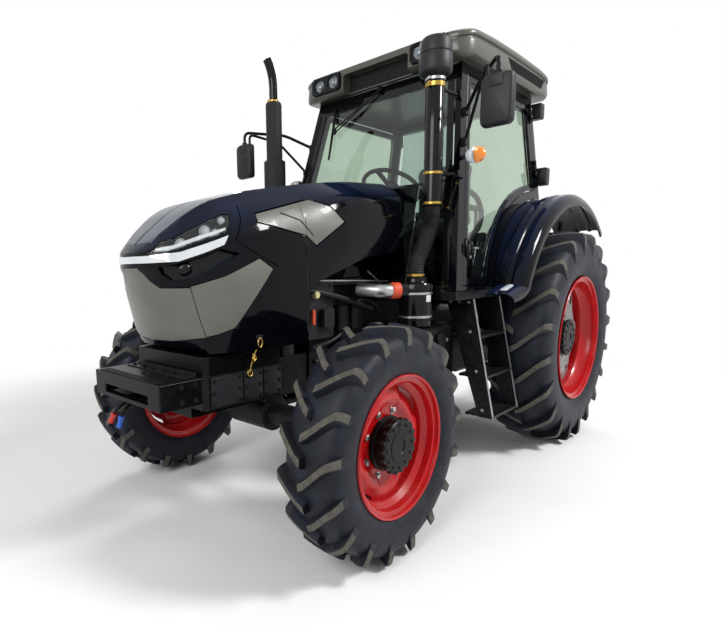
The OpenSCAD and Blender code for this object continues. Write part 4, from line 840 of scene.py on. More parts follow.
@dataclass
class Wheel:
    """A lugged tyre on its red rim with the hub that carries it."""
    name: str
    body: str
    centre: Point
    side: int
    tip_r: float
    width: float
    rim_r: float
    rim_w: float
    lugs: int
    depth: float
    lug_w: float
    sweep: float
    phase: float
    hub_r: float
    disc_out: float
    hub_out: float
    pale_disc: bool
    ears: int
    ear_r: float
    bolts: int
    bolt_r: float
    ribs: int = 18
    holes: int = 12
    hole_r: float = 28
    # Carcass outline from bead to crown, as shares of its height and half width
    outline: Outline = ((0.0, 0.80), (0.03, 0.86), (0.07, 0.87), (0.10, 0.90), (0.2, 0.955), (0.38, 1.0),
        (0.55, 0.995), (0.70, 0.965), (0.82, 0.90), (0.9, 0.80), (0.955, 0.62), (0.985, 0.38), (1.0, 0.12))

    def spot(self, r: float, angle: float, out: float) -> Vector:
        """Gives a point at a radius, an angle from straight ahead and a distance outboard of the tread centre."""
        x, y, z = self.centre
        return Vector((x + r * cos(angle), y + self.side * out, z + r * sin(angle)))

    def crown(self, share: float) -> float:
        """Gives the carcass radius at a share of the half width.

        Args:
            share: the share.
        Returns:
            The radius.
        """
        top = self.tip_r - self.depth
        rows = [(w, self.rim_r + h * (top - self.rim_r)) for h, w in self.outline[5:]] + [(0.0, top)]
        for (w0, r0), (w1, r1) in zip(rows, rows[1:]):
            if w1 <= share <= w0:
                return r0 + (r1 - r0) * (w0 - share) / (w0 - w1)
        return rows[0][1]

    def lug(self, shape: Shape, start: float, hand: int) -> None:
        """Adds one tread bar that runs from the shoulder towards the middle.

        Args:
            shape: takes the faces.
            start: angle of its shoulder end.
            hand: 1 on the outboard half, -1 on the other.
        """
        half = self.width / 2
        drop = 0.055 * self.width
        rows = [(1.002, 0.0, 0.60), (0.995, 0.0, 0.30), (0.97, 0.02, 0.10), (0.9, 0.06, 0.0), (0.74, 0.22, 0.0),
            (0.56, 0.42, 0.0), (0.36, 0.64, 0.0), (0.16, 0.85, 0.0), (-0.04, 1.0, 0.0)]
        rings = []
        for share, along, sink in rows:
            angle = start - radians(self.sweep) * along
            top = self.tip_r - drop * share * abs(share) - sink * self.depth * 3.4
            low = self.crown(min(abs(share), 0.99)) - 6
            if sink > 0:
                low = min(low, top - 4)
            broad = self.lug_w * 0.5 * (1 + 0.3 * sink)
            edge = [(low, -broad * 1.5), (top - 7, -broad * 1.06), (top, -broad * 0.86), (top, broad * 0.86),
                (top - 7, broad * 1.06), (low, broad * 1.45)]
            rings.append([self.spot(r, angle + b / self.tip_r, hand * share * half) for r, b in edge])
        n = len(rings[0])
        for j in range(n):
            shape.use(1 if j == 2 else 0)
            strip = [[ring[j], ring[(j + 1) % n]] for ring in rings]
            shape.loft(strip, caps=False, closed=False)
        shape.use(0)
        for ring in (rings[0], rings[-1]):
            shape.add(ring, [tuple(range(n))])

    def tyre(self) -> None:
        """Builds the carcass with its tread bars."""
        shape = Shape()
        top = self.tip_r - self.depth
        half = [(self.rim_r + h * (top - self.rim_r), w * self.width / 2) for h, w in self.outline]
        inside = [(self.rim_r - 6, self.outline[0][1] * self.width / 2 - 6), (self.rim_r - 6, 0)]
        profile = inside[::-1] + half
        full = profile + [(r, -w) for r, w in profile[::-1]]
        axis = (0, self.side, 0)
        shape.turn(full, self.centre, axis, 120)
        for k in range(self.lugs):
            base = tau * k / self.lugs + radians(self.phase)
            self.lug(shape, base, 1)
            self.lug(shape, base + pi / self.lugs, -1)
        shape.piece("lugged_tyre_" + self.name, "tyre_rubber", TYRE_RUBBER, LUG_CROWN, smooth=38,
            stands_for=("tyre_" + self.name,), body=self.body)

    def rim(self) -> None:
        """Builds the rolled rim and its pressed disc."""
        shape = Shape()
        r, hw = self.rim_r, self.rim_w / 2
        skin = [(r - 2, hw + 2), (r + 2, hw - 3), (r, hw - 12), (r - 24, hw - 16), (r - 27, hw * 0.62),
            (r - 52, hw * 0.45), (r - 54, -hw * 0.1), (r - 30, -hw * 0.3), (r - 26, 16 - hw), (r, 12 - hw),
            (r + 2, 3 - hw), (r - 2, -hw - 2)]
        back = [(a - 9, b * 0.965) for a, b in skin[::-1]]
        shape.turn(skin + back, self.centre, (0, self.side, 0), 96, closed=True)
        if not self.pale_disc:
            self.disc(shape)
        shape.piece("wheel_rim_" + self.name, "red_wheel_paint", RED_ENAMEL, smooth=36,
            stands_for=("rim_" + self.name,), body=self.body)

    def disc(self, shape: Shape) -> None:
        """Adds the dished disc, its outer edge waved into ears that bolt to the rim.

        Args:
            shape: takes the faces.
        """
        steps, inner = 144, self.hub_r * 0.9
        rings: list[list[Vector]] = []
        shares = (0.0, 0.18, 0.3, 0.42, 0.55, 0.66, 0.78, 0.9, 1.0)
        lifts = (0.0, 0.0, 2.0, 14.0, 24.0, 26.0, 18.0, 8.0, 4.0)
        for layer in (0.0, -10.0):
            for share, lift in (zip(shares, lifts) if layer == 0 else zip(shares[::-1], lifts[::-1])):
                ring = []
                for angle in angles(steps):
                    wave = 0.5 + 0.5 * cos(angle * self.ears)
                    ear = max(0.0, min(1.0, wave * 2.2 - 0.7))
                    outer = self.ear_r - (1 - ear * ear * (3 - 2 * ear)) * 0.13 * self.ear_r
                    ring.append(self.spot(inner + (outer - inner) * share, angle, self.disc_out + lift + layer))
                rings.append(ring)
        rings.append(rings[0])
        shape.loft(rings, caps=False)

    def hub(self) -> None:
        """Builds the ribbed hub and the bolts round it."""
        shape = Shape()
        axis = (0, self.side, 0)
        r, out, back = self.hub_r, self.hub_out, self.disc_out
        shape.turn([(r * 0.5, back - 74), (r * 0.84, back - 74), (r * 1.15, back - 30), (r * 1.15, back - 12),
            (r, back - 12), (r, back + 6), (r * 1.04, back + 8), (r * 1.04, back + 22), (r * 0.97, back + 26),
            (r * 0.97, out - 26), (r, out - 24), (r, out - 8), (r * 0.95, out - 3), (r * 0.62, out - 3),
            (r * 0.58, out), (r * 0.3, out), (r * 0.26, out - 5), (0, out - 5)], self.centre, axis, 64)
        rib = ((r * 0.98, -0.07), (r * 1.05, -0.055), (r * 1.05, 0.055), (r * 0.98, 0.07))
        for a in angles(self.ribs):
            shape.loft([[self.spot(rr, a + t, o) for rr, t in rib] for o in (out - 26, out - 5)])
        for a in angles(self.holes):
            shape.bolt(self.spot(r * 0.8, a, out - 4), axis, 15)
        shape.use(1)
        for a in angles(self.bolts):
            shape.bolt(self.spot(self.bolt_r, a + pi / self.bolts, back + 1), axis, 26)
        shape.piece("wheel_hub_" + self.name, "black_satin_paint", SATIN_BLACK, ZINC_STEEL, smooth=30,
            stands_for=("hub_" + self.name,), body=self.body)

    def pale(self) -> None:
        """Builds the light disc as a piece of its own, with its ring of holes."""
        shape, drill = Shape(), Shape()
        self.disc(shape)
        bore = [(0, -60), (self.hole_r, -60), (self.hole_r, 60), (0, 60)]
        for a in angles(self.holes):
            drill.turn(bore, self.spot(self.ear_r * 0.772, a, self.disc_out), LEFT, 28)
        shape.less(drill).piece("wheel_disc_" + self.name, "red_wheel_paint", PALE_ENAMEL, smooth=36, bevel=1,
            body=self.body)

    def build(self) -> None:
        """Builds tyre, rim, disc and hub."""
        self.tyre()
        if self.pale_disc:
            self.pale()
        self.rim()
        self.hub()


@dataclass
class Wheels:
    """The four wheels."""
    wheelbase: float = 2350
    front_half: float = 850
    rear_half: float = 820

    def build(self) -> None:
        """Builds the front pair and the rear pair."""
        for side, hand in ((1, "left"), (-1, "right")):
            Wheel("front_" + hand, "front_%s_wheel" % hand, (self.wheelbase, side * self.front_half, 552), side,
                tip_r=552, width=290, rim_r=330, rim_w=260, lugs=17, depth=36, lug_w=40, sweep=13, phase=7.0,
                hub_r=124, disc_out=30, hub_out=118, pale_disc=False, ears=4, ear_r=288, bolts=8, bolt_r=156).build()
            Wheel("rear_" + hand, "rear_%s_wheel" % hand, (0, side * self.rear_half, 795), side, tip_r=795, width=430,
                rim_r=457, rim_w=400, lugs=20, depth=42, lug_w=46, sweep=13, phase=12.2, hub_r=130, disc_out=48,
                hub_out=128, pale_disc=True, ears=6, ear_r=395, bolts=10, bolt_r=190).build()


@dataclass
class Bonnet:
    """The one-piece bonnet with its nose: shell, grey panels, lamps and bright strip."""
    rear: float = 1500
    length: float = 1610
    low: float = 975
    height: float = 887
    half: float = 430
    wall: float = 14
    gap: float = 4
    body: str = "bonnet_assembly"
    # Stations as shares of length, top, half width and top half width
    stations: tuple[tuple[float, float, float, float], ...] = ((0, 1, 1, 0.63), (0.23, 0.975, 0.98, 0.61),
        (0.515, 0.906, 0.945, 0.57), (0.714, 0.834, 0.895, 0.5), (0.826, 0.767, 0.8, 0.44), (0.873, 0.716, 0.72, 0.4),
        (0.898, 0.682, 0.66, 0.37), (0.96, 0.589, 0.46, 0.27), (0.991, 0.533, 0.26, 0.16), (1, 0.515, 0.13, 0.09))
    # Low edge as shares of length and height, with the step where the nose side ends
    edge: Outline = ((0, 0.541), (0.23, 0.485), (0.512, 0.327), (0.518, 0), (0.873, 0), (0.898, 0.096), (0.96, 0.412),
        (0.991, 0.468), (1, 0.479))
    # Section as shares of the step from side to top, and of the height
    section: Outline = ((0.06, 0), (0, 0.2), (0.07, 0.55), (0.42, 0.86), (1, 1))
    # Side-view outlines ahead of the rear axle and up
    vent: Outline = ((2614, 1612), (2250, 1704), (2134, 1673), (2051, 1597), (2263, 1471), (2328, 1520), (2617, 1575))
    vent_middle: Outline = ((2472, 1626), (2348, 1662), (2256, 1678), (2152, 1602), (2280, 1519), (2358, 1594))
    lamp: Outline = ((3084, 1434), (3037, 1484), (2997, 1496), (2903, 1547), (2777, 1606), (2745, 1603), (2773, 1546),
        (2792, 1521), (2899, 1484), (3006, 1444), (3066, 1435))
    light_bar: Outline = ((3066, 1440), (3005, 1451), (2897, 1492), (2791, 1530), (2783, 1544), (2896, 1508),
        (3004, 1466), (3062, 1452))
    strip: Outline = ((3150, 1424), (3100, 1421), (2989, 1437), (2882, 1474), (2785, 1510), (2812, 1465), (2903, 1428),
        (3001, 1393), (3093, 1388), (3150, 1388))
    eye: Outline = ((3066, 1370), (3005, 1384), (2922, 1410), (2828, 1450), (2738, 1426), (2829, 1385), (2908, 1342),
        (2990, 1313), (3029, 1312), (3054, 1341))
    side_grey: Outline = ((3040, 1262), (2966, 1281), (2822, 1324), (2640, 1402), (2570, 1354), (2611, 1305),
        (2790, 1089), (2860, 1066), (3040, 1030))
    seam: Outline = ((2685, 1650), (2706, 1582), (2757, 1482), (2633, 1412), (2531, 1361), (2528, 1365), (2631, 1416),
        (2751, 1482), (2701, 1581), (2680, 1650))
    # Front-view outline of the grey front panel's left half: out from the middle and up
    front_grey: Outline = ((0, 1368), (58, 1368), (104, 1312), (155, 1277), (268, 1276), (299, 1052), (150, 1032),
        (0, 1028))
    # Top-view outline of the nose panel's left half: ahead of the rear axle and out from the middle
    nose: Outline = ((3074, 9), (3058, 118), (2800, 194), (2752, 170), (2748, 9))

    def ring(self, share: float, inset: float, back: float, lift: float) -> list[Point]:
        """Gives one closed section.

        Args:
            share: its place as a share of the length.
            inset: how far it lies inside the outer skin.
            back: shift along the length.
            lift: shift of the low edge.
        Returns:
            The section's points, from the left foot over the top to the right foot and back below.
        """
        x = self.rear + share * self.length
        top, half, crown = (curve([(s[0], s[k]) for s in self.stations], share) for k in (1, 2, 3))
        (a, below), (b, above) = next(p for p in zip(self.edge, self.edge[1:]) if p[1][0] >= share)
        foot = self.low + (below + (above - below) * (share - a) / (b - a)) * self.height + lift
        crest, wide, narrow = self.low + top * self.height - inset, half * self.half - inset, crown * self.half - inset
        levels = [(p[1], p[0]) for p in self.section]
        ease = min(max((share - 0.3) / 0.21, 0.0), 1.0) if share < 0.6 else 0.0
        ease = ease * ease * (3 - 2 * ease)
        left = []
        for k in range(27):
            z = foot + (crest - foot) * k / 26
            own, whole = curve(levels, k / 26), curve(levels, (z - self.low - lift) / (crest - self.low - lift))
            left.append((x + back, wide + (narrow - wide) * (own + (whole - own) * ease), z))
        left += [(x + back, narrow * c, crest + (1 - c * c) * 6) for c in (0.75, 0.5, 0.25)]
        bow = min(0.25 * wide, self.rear + self.length - x) if share > 0.873 else 0.0
        under = [(x + back + bow * (1 - c * c), left[0][1] * c, foot) for c in (-0.8, -0.6, -0.4, -0.2, 0, 0.2, 0.4,
            0.6, 0.8)]
        return left + [(x + back, 0, crest + 6)] + [(px, -y, z) for px, y, z in left[::-1]] + under

    def skin(self, inset: float, inner: bool) -> Shape:
        """Gives the closed solid under a skin.

        Args:
            inset: how far the skin lies inside the outer one.
            inner: whether it bounds a layer from inside, so that it runs out below and behind.
        Returns:
            The solid.
        """
        turns = dict(self.edge)
        shares = sorted(set(turns) | {k / 70 for k in range(71)} | {0.88, 0.89, 0.91, 0.925, 0.94, 0.95, 0.975})
        shares = [s for s in shares if s in turns or all(abs(s - e) > 0.004 for e in turns)]
        rings = []
        for s in shares:
            if inner and s > 0.985:
                continue
            back = -20.0 if inner and s == 0 else 0.0
            lift = inset if s > 0.873 else -30.0 if inner else 0.0
            rings.append(self.ring(s, inset, back, lift))
        shape = Shape()
        shape.loft(rings)
        return shape

    def shell(self, outer: float, inner: float) -> Shape:
        """Gives the layer between two skins."""
        return self.skin(outer, False).less(self.skin(inner, True))

    def side_tool(self, outline: Flat, start: float = 60) -> Shape:
        """Gives a tool with a side-view outline on both sides, from a distance off the middle outwards.

        Args:
            outline: the outline.
            start: that distance.
        Returns:
            The tool.
        """
        tool = Shape()
        for _ in both_sides(tool):
            tool.prism(outline, Axis.Y, start, 600)
        return tool

    def strip_tool(self, by: float) -> Shape:
        """Gives the tool of the bright strip, right across the nose.

        Args:
            by: how far its sides are moved out.
        Returns:
            The tool.
        """
        tool = Shape()
        tool.prism(swell(self.strip, by), Axis.Y, -600, 600)
        return tool

    def front_tool(self, by: float) -> Shape:
        """Gives the tool of the grey front panel, widened by a distance.

        Args:
            by: that distance.
        Returns:
            The tool.
        """
        right = [(-y, z) for y, z in self.front_grey[1:-1]][::-1]
        tool = Shape()
        tool.prism(swell(list(self.front_grey) + right, by), Axis.X, 2700, 3200)
        return tool

    def nose_tool(self, by: float) -> Shape:
        """Gives the tool of the two plates on the nose's top.

        Args:
            by: how far their sides are moved out.
        Returns:
            The tool.
        """
        tool = Shape()
        for _ in both_sides(tool):
            tool.prism(swell(self.nose, by), Axis.Z, 1440, 1800)
        return tool

    def grey(self, bonnet: Shape) -> None:
        """Builds the grey grille panels and vents with their raised middles.

        Args:
            bonnet: the layer that they are cut from.
        """
        front = bonnet.common(self.front_tool(0))
        side = bonnet.common(self.side_tool(self.side_grey, 200))
        side = side.less(self.front_tool(self.gap))
        grille = Shape()
        for part in (front, side):
            grille.add(part.points, part.faces)
        grille.piece("grille_skins", "grey_panel", GREY_PANEL, bevel=2.5, stands_for=("grille_panels",),
            body=self.body)
        vents = bonnet.common(self.side_tool(self.vent))
        middle = self.shell(-5, 2).common(self.side_tool(self.vent_middle))
        vents.add(middle.points, middle.faces)
        vents.piece("vent_skins", "grey_panel", GREY_PANEL, bevel=3, stands_for=("vent_panels",), body=self.body)

    def lamps(self) -> None:
        """Builds the swept headlamps: dark housing, modules and clear cover, and the round lamps in the brow."""
        cover = self.shell(0.5, 3.5).common(self.side_tool(swell(self.lamp, -1)))
        cover.piece("headlamp_covers", "clear_lamp", LAMP_COVER, stands_for=("headlamps",), body=self.body)
        wall = self.shell(2, 46).common(self.side_tool(swell(self.lamp, 4)))
        wall = wall.less(self.side_tool(self.lamp, 40))
        floor = self.shell(40, 46).common(self.side_tool(self.lamp))
        wall.piece("headlamp_housings", "black_plastic", GLOSS_PLASTIC, bevel=1, body=self.body)
        floor.piece("headlamp_reflectors", "clear_lamp", REFLECTOR, body=self.body)
        bar = self.shell(5, 12).common(self.side_tool(self.light_bar))
        bar.piece("headlamp_light_bars", "clear_lamp", CHROME, bevel=1, body=self.body)
        lens = Shape()
        for x, y, z, r in ((2966, 212, 1468, 27), (2860, 250, 1527, 26), (2778, 268, 1576, 18)):
            for _ in both_sides(lens):
                aim = (0.78, 0.58, 0.22)
                lens.use(0).turn([(0, 12), (r * 0.4, 11), (r * 0.7, 7), (r * 0.86, 0), (r * 0.86, -6)], (x, y, z), aim,
                    32)
                lens.use(1).turn([(r * 0.86, -2), (r * 0.9, 4), (r, 5), (r * 1.06, 0), (r * 1.06, -14), (0, -16)],
                    (x, y, z), aim, 32)
        lens.piece("headlamp_modules", "clear_lamp", LED_MODULE, REFLECTOR, body=self.body)
        bowl = self.shell(30, 38).common(self.side_tool(swell(self.eye, 8), 90))
        for _ in both_sides(bowl):
            bowl.turn([(0, 36), (20, 33), (33, 22), (39, 5), (39, -22), (0, -24)], (2958, 216, 1361),
                (0.75, 0.64, 0.1), 36)
        bowl.piece("brow_lamps", "black_plastic", GLOSS_PLASTIC, bevel=1, body=self.body)

    def build(self) -> None:
        """Builds the shell and all that is let into it."""
        layer = self.shell(0, self.wall)
        shell = layer
        for tool in (self.front_tool(self.gap), self.side_tool(swell(self.side_grey, self.gap), 200),
                self.side_tool(swell(self.vent, 2 * self.gap)), self.side_tool(swell(self.lamp, 2)),
                self.strip_tool(1), self.side_tool(self.eye, 100), self.nose_tool(self.gap),
                self.side_tool(self.seam, 150)):
            shell = shell.less(tool)
        shell.piece("bonnet_shell", "black_gloss_paint", GLOSS_BLACK, bevel=1.5, stands_for=("bonnet",),
            body=self.body)
        self.grey(layer)
        strip = self.shell(-3, 8).common(self.strip_tool(-1))
        strip.piece("chrome_strip", "bright_trim", CHROME, bevel=2, stands_for=("bright_strip",), body=self.body)
        plates = self.shell(-1, 5).common(self.nose_tool(0))
        plates.piece("nose_plates", "black_plastic", PAINTED_REFLECTION_PLASTIC, bevel=2, body=self.body)
        floor = self.shell(9, 13).common(self.nose_tool(2 * self.gap))
        floor.piece("nose_plate_floor", "black_plastic", GLOSS_PLASTIC, body=self.body)
        self.lamps()


def rounded(half_a: float, half_b: float, radius: float, steps: int = 6) -> list[tuple[float, float]]:
    """Gives the outline of a rectangle with round corners about the origin.

    Args:
        half_a: its first half size.
        half_b: its second half size.
        radius: radius of the corners.
        steps: steps in each corner.
    Returns:
        The outline.
    """
    out = []
    for k, (sa, sb) in enumerate(((1, 1), (-1, 1), (-1, -1), (1, -1))):
        for i in range(steps + 1):
            turn = pi / 2 * (k + i / steps)
            out.append((sa * (half_a - radius) + radius * cos(turn), sb * (half_b - radius) + radius * sin(turn)))
    return out


def ring(shape: Shape, centre: Spot, axis: Spot, inner: float, outer: float, width: float, steps: int = 40) -> None:
    """Adds a band with rounded edges about an axis.

    Args:
        shape: takes the faces.
        centre: the middle of the band.
        axis: the direction of its axis.
        inner: its inner radius.
        outer: its outer radius.
        width: its width along the axis.
        steps: steps of a full turn.
    """
    h, c = width / 2, min(1.5, (outer - inner) / 3)
    shape.turn([(inner, -h), (outer - c, -h), (outer, c - h), (outer, h - c), (outer - c, h), (inner, h)], centre,
        axis, steps, closed=True)


@dataclass
class Roof:
    """The moulded cab roof with its lamp pods, side vents and lifting eyes."""
    back: float = -170
    front: float = 1225
    half: float = 665
    low: float = 2590
    corner: float = 120
    lamp_z: float = 2674
    lamps: tuple[float, float] = (345, 472)
    pod: float = 412.5
    # Side outline: share of the length, foot and crown above the cab
    outline: tuple[tuple[float, float, float], ...] = ((0, 31, 97), (0.025, 5, 140), (0.07, 0, 170), (0.16, 0, 189),
        (0.3, 0, 195), (0.62, 0, 195), (0.8, 0, 185), (0.93, 0, 168), (0.985, 0, 154), (1, 16, 150))
    # Section: share of the height, and distance inside the half width
    section: Outline = ((0, 330), (0, 60), (0.02, 22), (0.09, 6), (0.2, 0), (0.58, 4), (0.64, 13), (0.69, 13),
        (0.72, 1), (0.77, -2), (0.84, 0), (0.92, 12), (0.97, 42), (0.995, 120), (1.0, 330))
    vent: Outline = ((655, 2702), (598, 2632), (62, 2628), (-14, 2702))

    def skin(self) -> Shape:
        """Gives the closed roof solid.

        Returns:
            The solid.
        """
        shape = Shape()
        length = self.front - self.back
        places = sorted({k / 24 for k in range(25)} | {0.004, 0.012, 0.02, 0.03, 0.055, 0.945, 0.97, 0.982, 0.99,
            0.996})
        rings = []
        for s in places:
            foot, crown = (curve([(o[0], o[k]) for o in self.outline], s) for k in (1, 2))
            reach = min(s, 1 - s) * length
            edge = self.corner - sqrt(max(0.0, self.corner ** 2 - max(0.0, self.corner - reach) ** 2))
            left = [(self.back + s * length, max(self.half - edge - inset, 20), self.low + foot + (crown - foot) * up)
                for up, inset in self.section]
            rings.append(left + [(x, -y, z) for x, y, z in left[::-1]])
        shape.loft(rings)
        return shape

    def pods(self) -> None:
        """Builds the black lamp pods in the front corners with two round lamps each."""
        pod, lamp = Shape(), Shape()
        for hand in both_sides(pod, lamp):
            block = Shape()
            block.hand = hand
            plan = [(self.pod + a, self.lamp_z + b) for a, b in rounded(127, 57.5, 26)]
            block.prism(plan, Axis.X, 1151, 1246)
            for y in self.lamps:
                hole = Shape()
                hole.hand = hand
                hole.turn([(0, -60), (50, -60), (50, 60), (0, 60)], (1237, y, self.lamp_z), AHEAD, 40)
                block = block.less(hole)
                spot = (1225, y, self.lamp_z)
                lamp.use(0).turn([(44, -46), (46, 12), (49, 16), (44, 17), (40, 11), (40, 6)], spot, AHEAD, 40)
                lamp.use(1).turn([(40, 8), (30, -12), (16, -26), (0, -30)], spot, AHEAD, 40)
                lamp.turn([(14, -24), (14, -8), (9, -3), (0, -2)], spot, AHEAD, 24)
                lamp.use(2).turn([(41, 8), (34, 13), (20, 17), (0, 19), (0, 16), (20, 14), (34, 10)], spot, AHEAD, 40)
            pod.add(map(pod.at, block.points), block.faces)
        pod.piece("roof_lamp_pods", "black_plastic", GLOSS_PLASTIC, bevel=4, stands_for=("roof_lamps",))
        lamp.piece("roof_work_lamps", "clear_lamp", BLACK_PLASTIC, REFLECTOR, LAMP_COVER)

    def vents(self) -> None:
        """Builds the slatted vents in the roof's sides."""
        slats = Shape()
        for _ in both_sides(slats):
            for k in range(7):
                z = 2636 + 9.6 * k
                first, last = 596 + (z - 2632) * 0.75, 60 - (z - 2632) * 0.95
                slats.prism([(self.half - 18, z), (self.half - 5, z - 2), (self.half - 5, z + 1),
                    (self.half - 18, z + 4)], Axis.X, last, first)
            for k in range(9):
                x = 90 + 60 * k
                slats.box((x, self.half - 17, 2634), (x + 5, self.half - 8, 2700))
        slats.piece("roof_vent_slats", "black_plastic", BLACK_PLASTIC, bevel=0.6)

    def build(self) -> None:
        """Builds the skin with its openings and all that sits in them."""
        skin = self.skin()
        tool = Shape()
        for _ in both_sides(tool):
            tool.prism([(self.pod + a, self.lamp_z + b) for a, b in rounded(131, 61, 26)], Axis.X, 1146, 1300)
        skin = skin.less(tool)
        tool = Shape()
        tool.prism([(-262, 2570), (262, 2570), (262, 2690), (248, 2702), (-248, 2702), (-262, 2690)], Axis.X, 1158,
            1300)
        for _ in both_sides(tool):
            tool.prism(self.vent, Axis.Y, self.half - 17, 720)
        skin = skin.less(tool)
        skin.piece("roof_skin", "grey_panel", ROOF_GREY, bevel=3, smooth=34, stands_for=("cab_roof",))
        self.pods()
        self.vents()
        extra = Shape()
        extra.slab(Axis.Z, (430, 0), (310, 330), 60, ((2780, 0), (2787, 0), (2790, 5), (2791, 40)))
        extra.use(1)
        for _ in both_sides(extra):
            turns = [(1122 + 14 * cos(a), 452, 2772 + 14 * sin(a)) for a in angles(24, True)]
            extra.tube(turns, 4, 10, caps=False)
            extra.turn([(0, -6), (14, -6), (14, 1), (6, 5), (0, 5)], (1122, 452, 2753), UP, 24)
        # A near-black plate at the back of the front recess between the lamp pods: painted shade under the roof's lip.
        extra.use(2).box((1156, -258, 2594), (1161, 258, 2699))
        extra.piece("roof_hatch_eyes_and_shade_plate", "grey_panel", ROOF_GREY, ZINC_STEEL, SATIN_BLACK, bevel=1.5)


@dataclass
class Stacks:
    """Exhaust on the right; air cleaner, ribbed hose, intake tube and precleaner on the left."""
    exhaust: tuple[float, float] = (1640, -548)
    intake: tuple[float, float] = (1405, 560)
    can: tuple[float, float] = (1575, 560)

    def tailpipe(self) -> None:
        """Builds the pebbled silencer and the smooth cut tail pipe."""
        x, y = self.exhaust
        shape = Shape()
        shape.turn([(0, 1003), (44, 1003), (50, 1010), (50, 1372), (58, 1382), (70, 1388), (76, 1398), (76, 2098),
            (72, 2106), (60, 2112), (56, 2118), (56, 2484), (50, 2498), (33, 2506), (0, 2506)], (x, y, 0), UP, 48)
        shape.tube([(x, y, 1055), (x, -313, 1055)], 45, 36)
        shape.use(1)
        bend = [(x, y, 2490), (x, y, 2600)]
        bend += [(x + 300 - 300 * cos(a), y, 2600 + 300 * sin(a)) for a in (radians(3 * k) for k in range(1, 13))]
        for r in (30.0, 25.0):
            shape.tube(bend, [r] * len(bend), 32, caps=False)
        last = Vector(bend[-1])
        way = (last - Vector(bend[-2])).normalized()
        ends = []
        for r in (30.0, 25.0):
            side = way.orthogonal().normalized()
            ends.append([last + (side * cos(a) + way.cross(side) * sin(a)) * r for a in angles(32)])
        shape.loft(ends, caps=False)
        shape.piece("exhaust_pipe_and_silencer", "black_casting", HEAT_BLACK, GLOSS_PLASTIC, smooth=40,
            stands_for=("exhaust_stack",))
        bands = Shape()
        ring(bands, (x, y, 2503), UP, 30, 37, 20)
        bands.box((x + 34, y - 7, 2495), (x + 52, y + 7, 2511))
        bands.use(1)
        ring(bands, (x, y, 1375), UP, 50, 57, 18)
        ring(bands, (x, y, 1040), UP, 50, 58, 16)
        bands.piece("exhaust_clamps", "plain_steel", BRASS_CLAMP, ZINC_STEEL)

    def snorkel(self) -> None:
        """Builds the ribbed hose, the tube and the two-tier precleaner."""
        (x, y), (cx, cy) = self.intake, self.can
        shape = Shape()
        path = crook([(cx, cy, 1284), (cx, cy, 1360), (x, y, 1600), (x, y, 1722)], 120, 12)
        fine: list[Vector] = []
        for a, b in zip(path, path[1:]):
            parts = max(1, round((b - a).length / 5.5))
            fine += [a.lerp(b, k / parts) for k in range(parts)]
        fine.append(path[-1])
        shape.tube(fine, [47.5 if k % 2 else 42.5 for k in range(len(fine))], 30)
        shape.use(1).turn([(0, 1706), (50, 1706), (54, 1710), (54, 2426), (48, 2436), (48, 2450)], (x, y, 0), UP, 48)
        for z, back, wide in ((1895, 1282, 645), (2381, 1161, 582)):
            shape.tube([(back - 4, wide, z), (x - 20, y, z)], 11, 16)
            shape.box((back - 8, wide - 24, z - 20), (back + 14, wide + 18, z + 20))
        shape.use(2).turn([(40, 2432), (60, 2430), (80, 2440), (93, 2452), (95, 2460), (95, 2540), (92, 2547),
            (86, 2549), (86, 2554), (90, 2558), (90, 2618), (86, 2628), (74, 2640), (50, 2645), (0, 2645)], (x, y, 0),
            UP, 56)
        shape.piece("intake_snorkel", "black_plastic", HOSE_RUBBER, GLOSS_PLASTIC, BLACK_PLASTIC, smooth=40,
            stands_for=("intake_stack",))
        bands = Shape()
        for z, r, steel in ((2418, 54, True), (2391, 54, False), (2381, 54, False), (1895, 54, False),
                (1722, 54, False), (1301, 47, False)):
            bands.use(1 if steel else 0)
            spot = (cx, cy, z) if z < 1400 else (x, y, z)
            ring(bands, spot, UP, r - 1, r + 4, 17 if steel else 15)
            bands.box((spot[0] + r, spot[1] - 9, z - 7), (spot[0] + r + 14, spot[1] + 9, z + 7))
        bands.piece("intake_clamps", "bright_trim", BRASS_CLAMP, ZINC_STEEL)

    def cleaner(self) -> None:
        """Builds the air cleaner can with its lid, straps, blank label and outlet."""
        x, y = self.can
        shape = Shape()
        shape.turn([(0, 1000), (86, 1000), (98, 1008), (98, 1040), (94, 1044), (94, 1210), (98, 1214), (98, 1240),
            (90, 1254), (68, 1262), (64, 1270), (64, 1288), (0, 1288)], (x, y, 0), UP, 56)
        shape.tube([(x + 80, y - 20, 1216), (x + 118, y - 40, 1216)], 46, 28)
        shape.use(1).tube([(x + 112 + 12 * k, y - 37 - 6.75 * k, 1216) for k in range(5)], [45, 48, 45, 48, 45], 28)
        shape.use(2).tube(crook([(x + 156, y - 62, 1216), (x + 215, y - 96, 1216), (x + 250, y - 230, 1226)], 60, 8),
            40, 28)
        shape.use(3)
        for r in (94.5, 95.2):
            shape.loft([[(x + r * cos(a), y + r * sin(a), z) for a in (1.25, 1.36, 1.47, 1.58, 1.69)] for z in
                (1148, 1186)], caps=False, closed=False)
        shape.use(2)
        for z in (1060, 1196):
            ring(shape, (x, y, z), UP, 93, 97.5, 14, 56)
        shape.piece("air_cleaner_can", "black_plastic", GLOSS_PLASTIC, ORANGE_SILICONE, ZINC_STEEL, PALE_LABEL,
            smooth=38, stands_for=("air_cleaner",))

    def build(self) -> None:
        """Builds both stacks."""
        self.tailpipe()
        self.snorkel()
        self.cleaner()


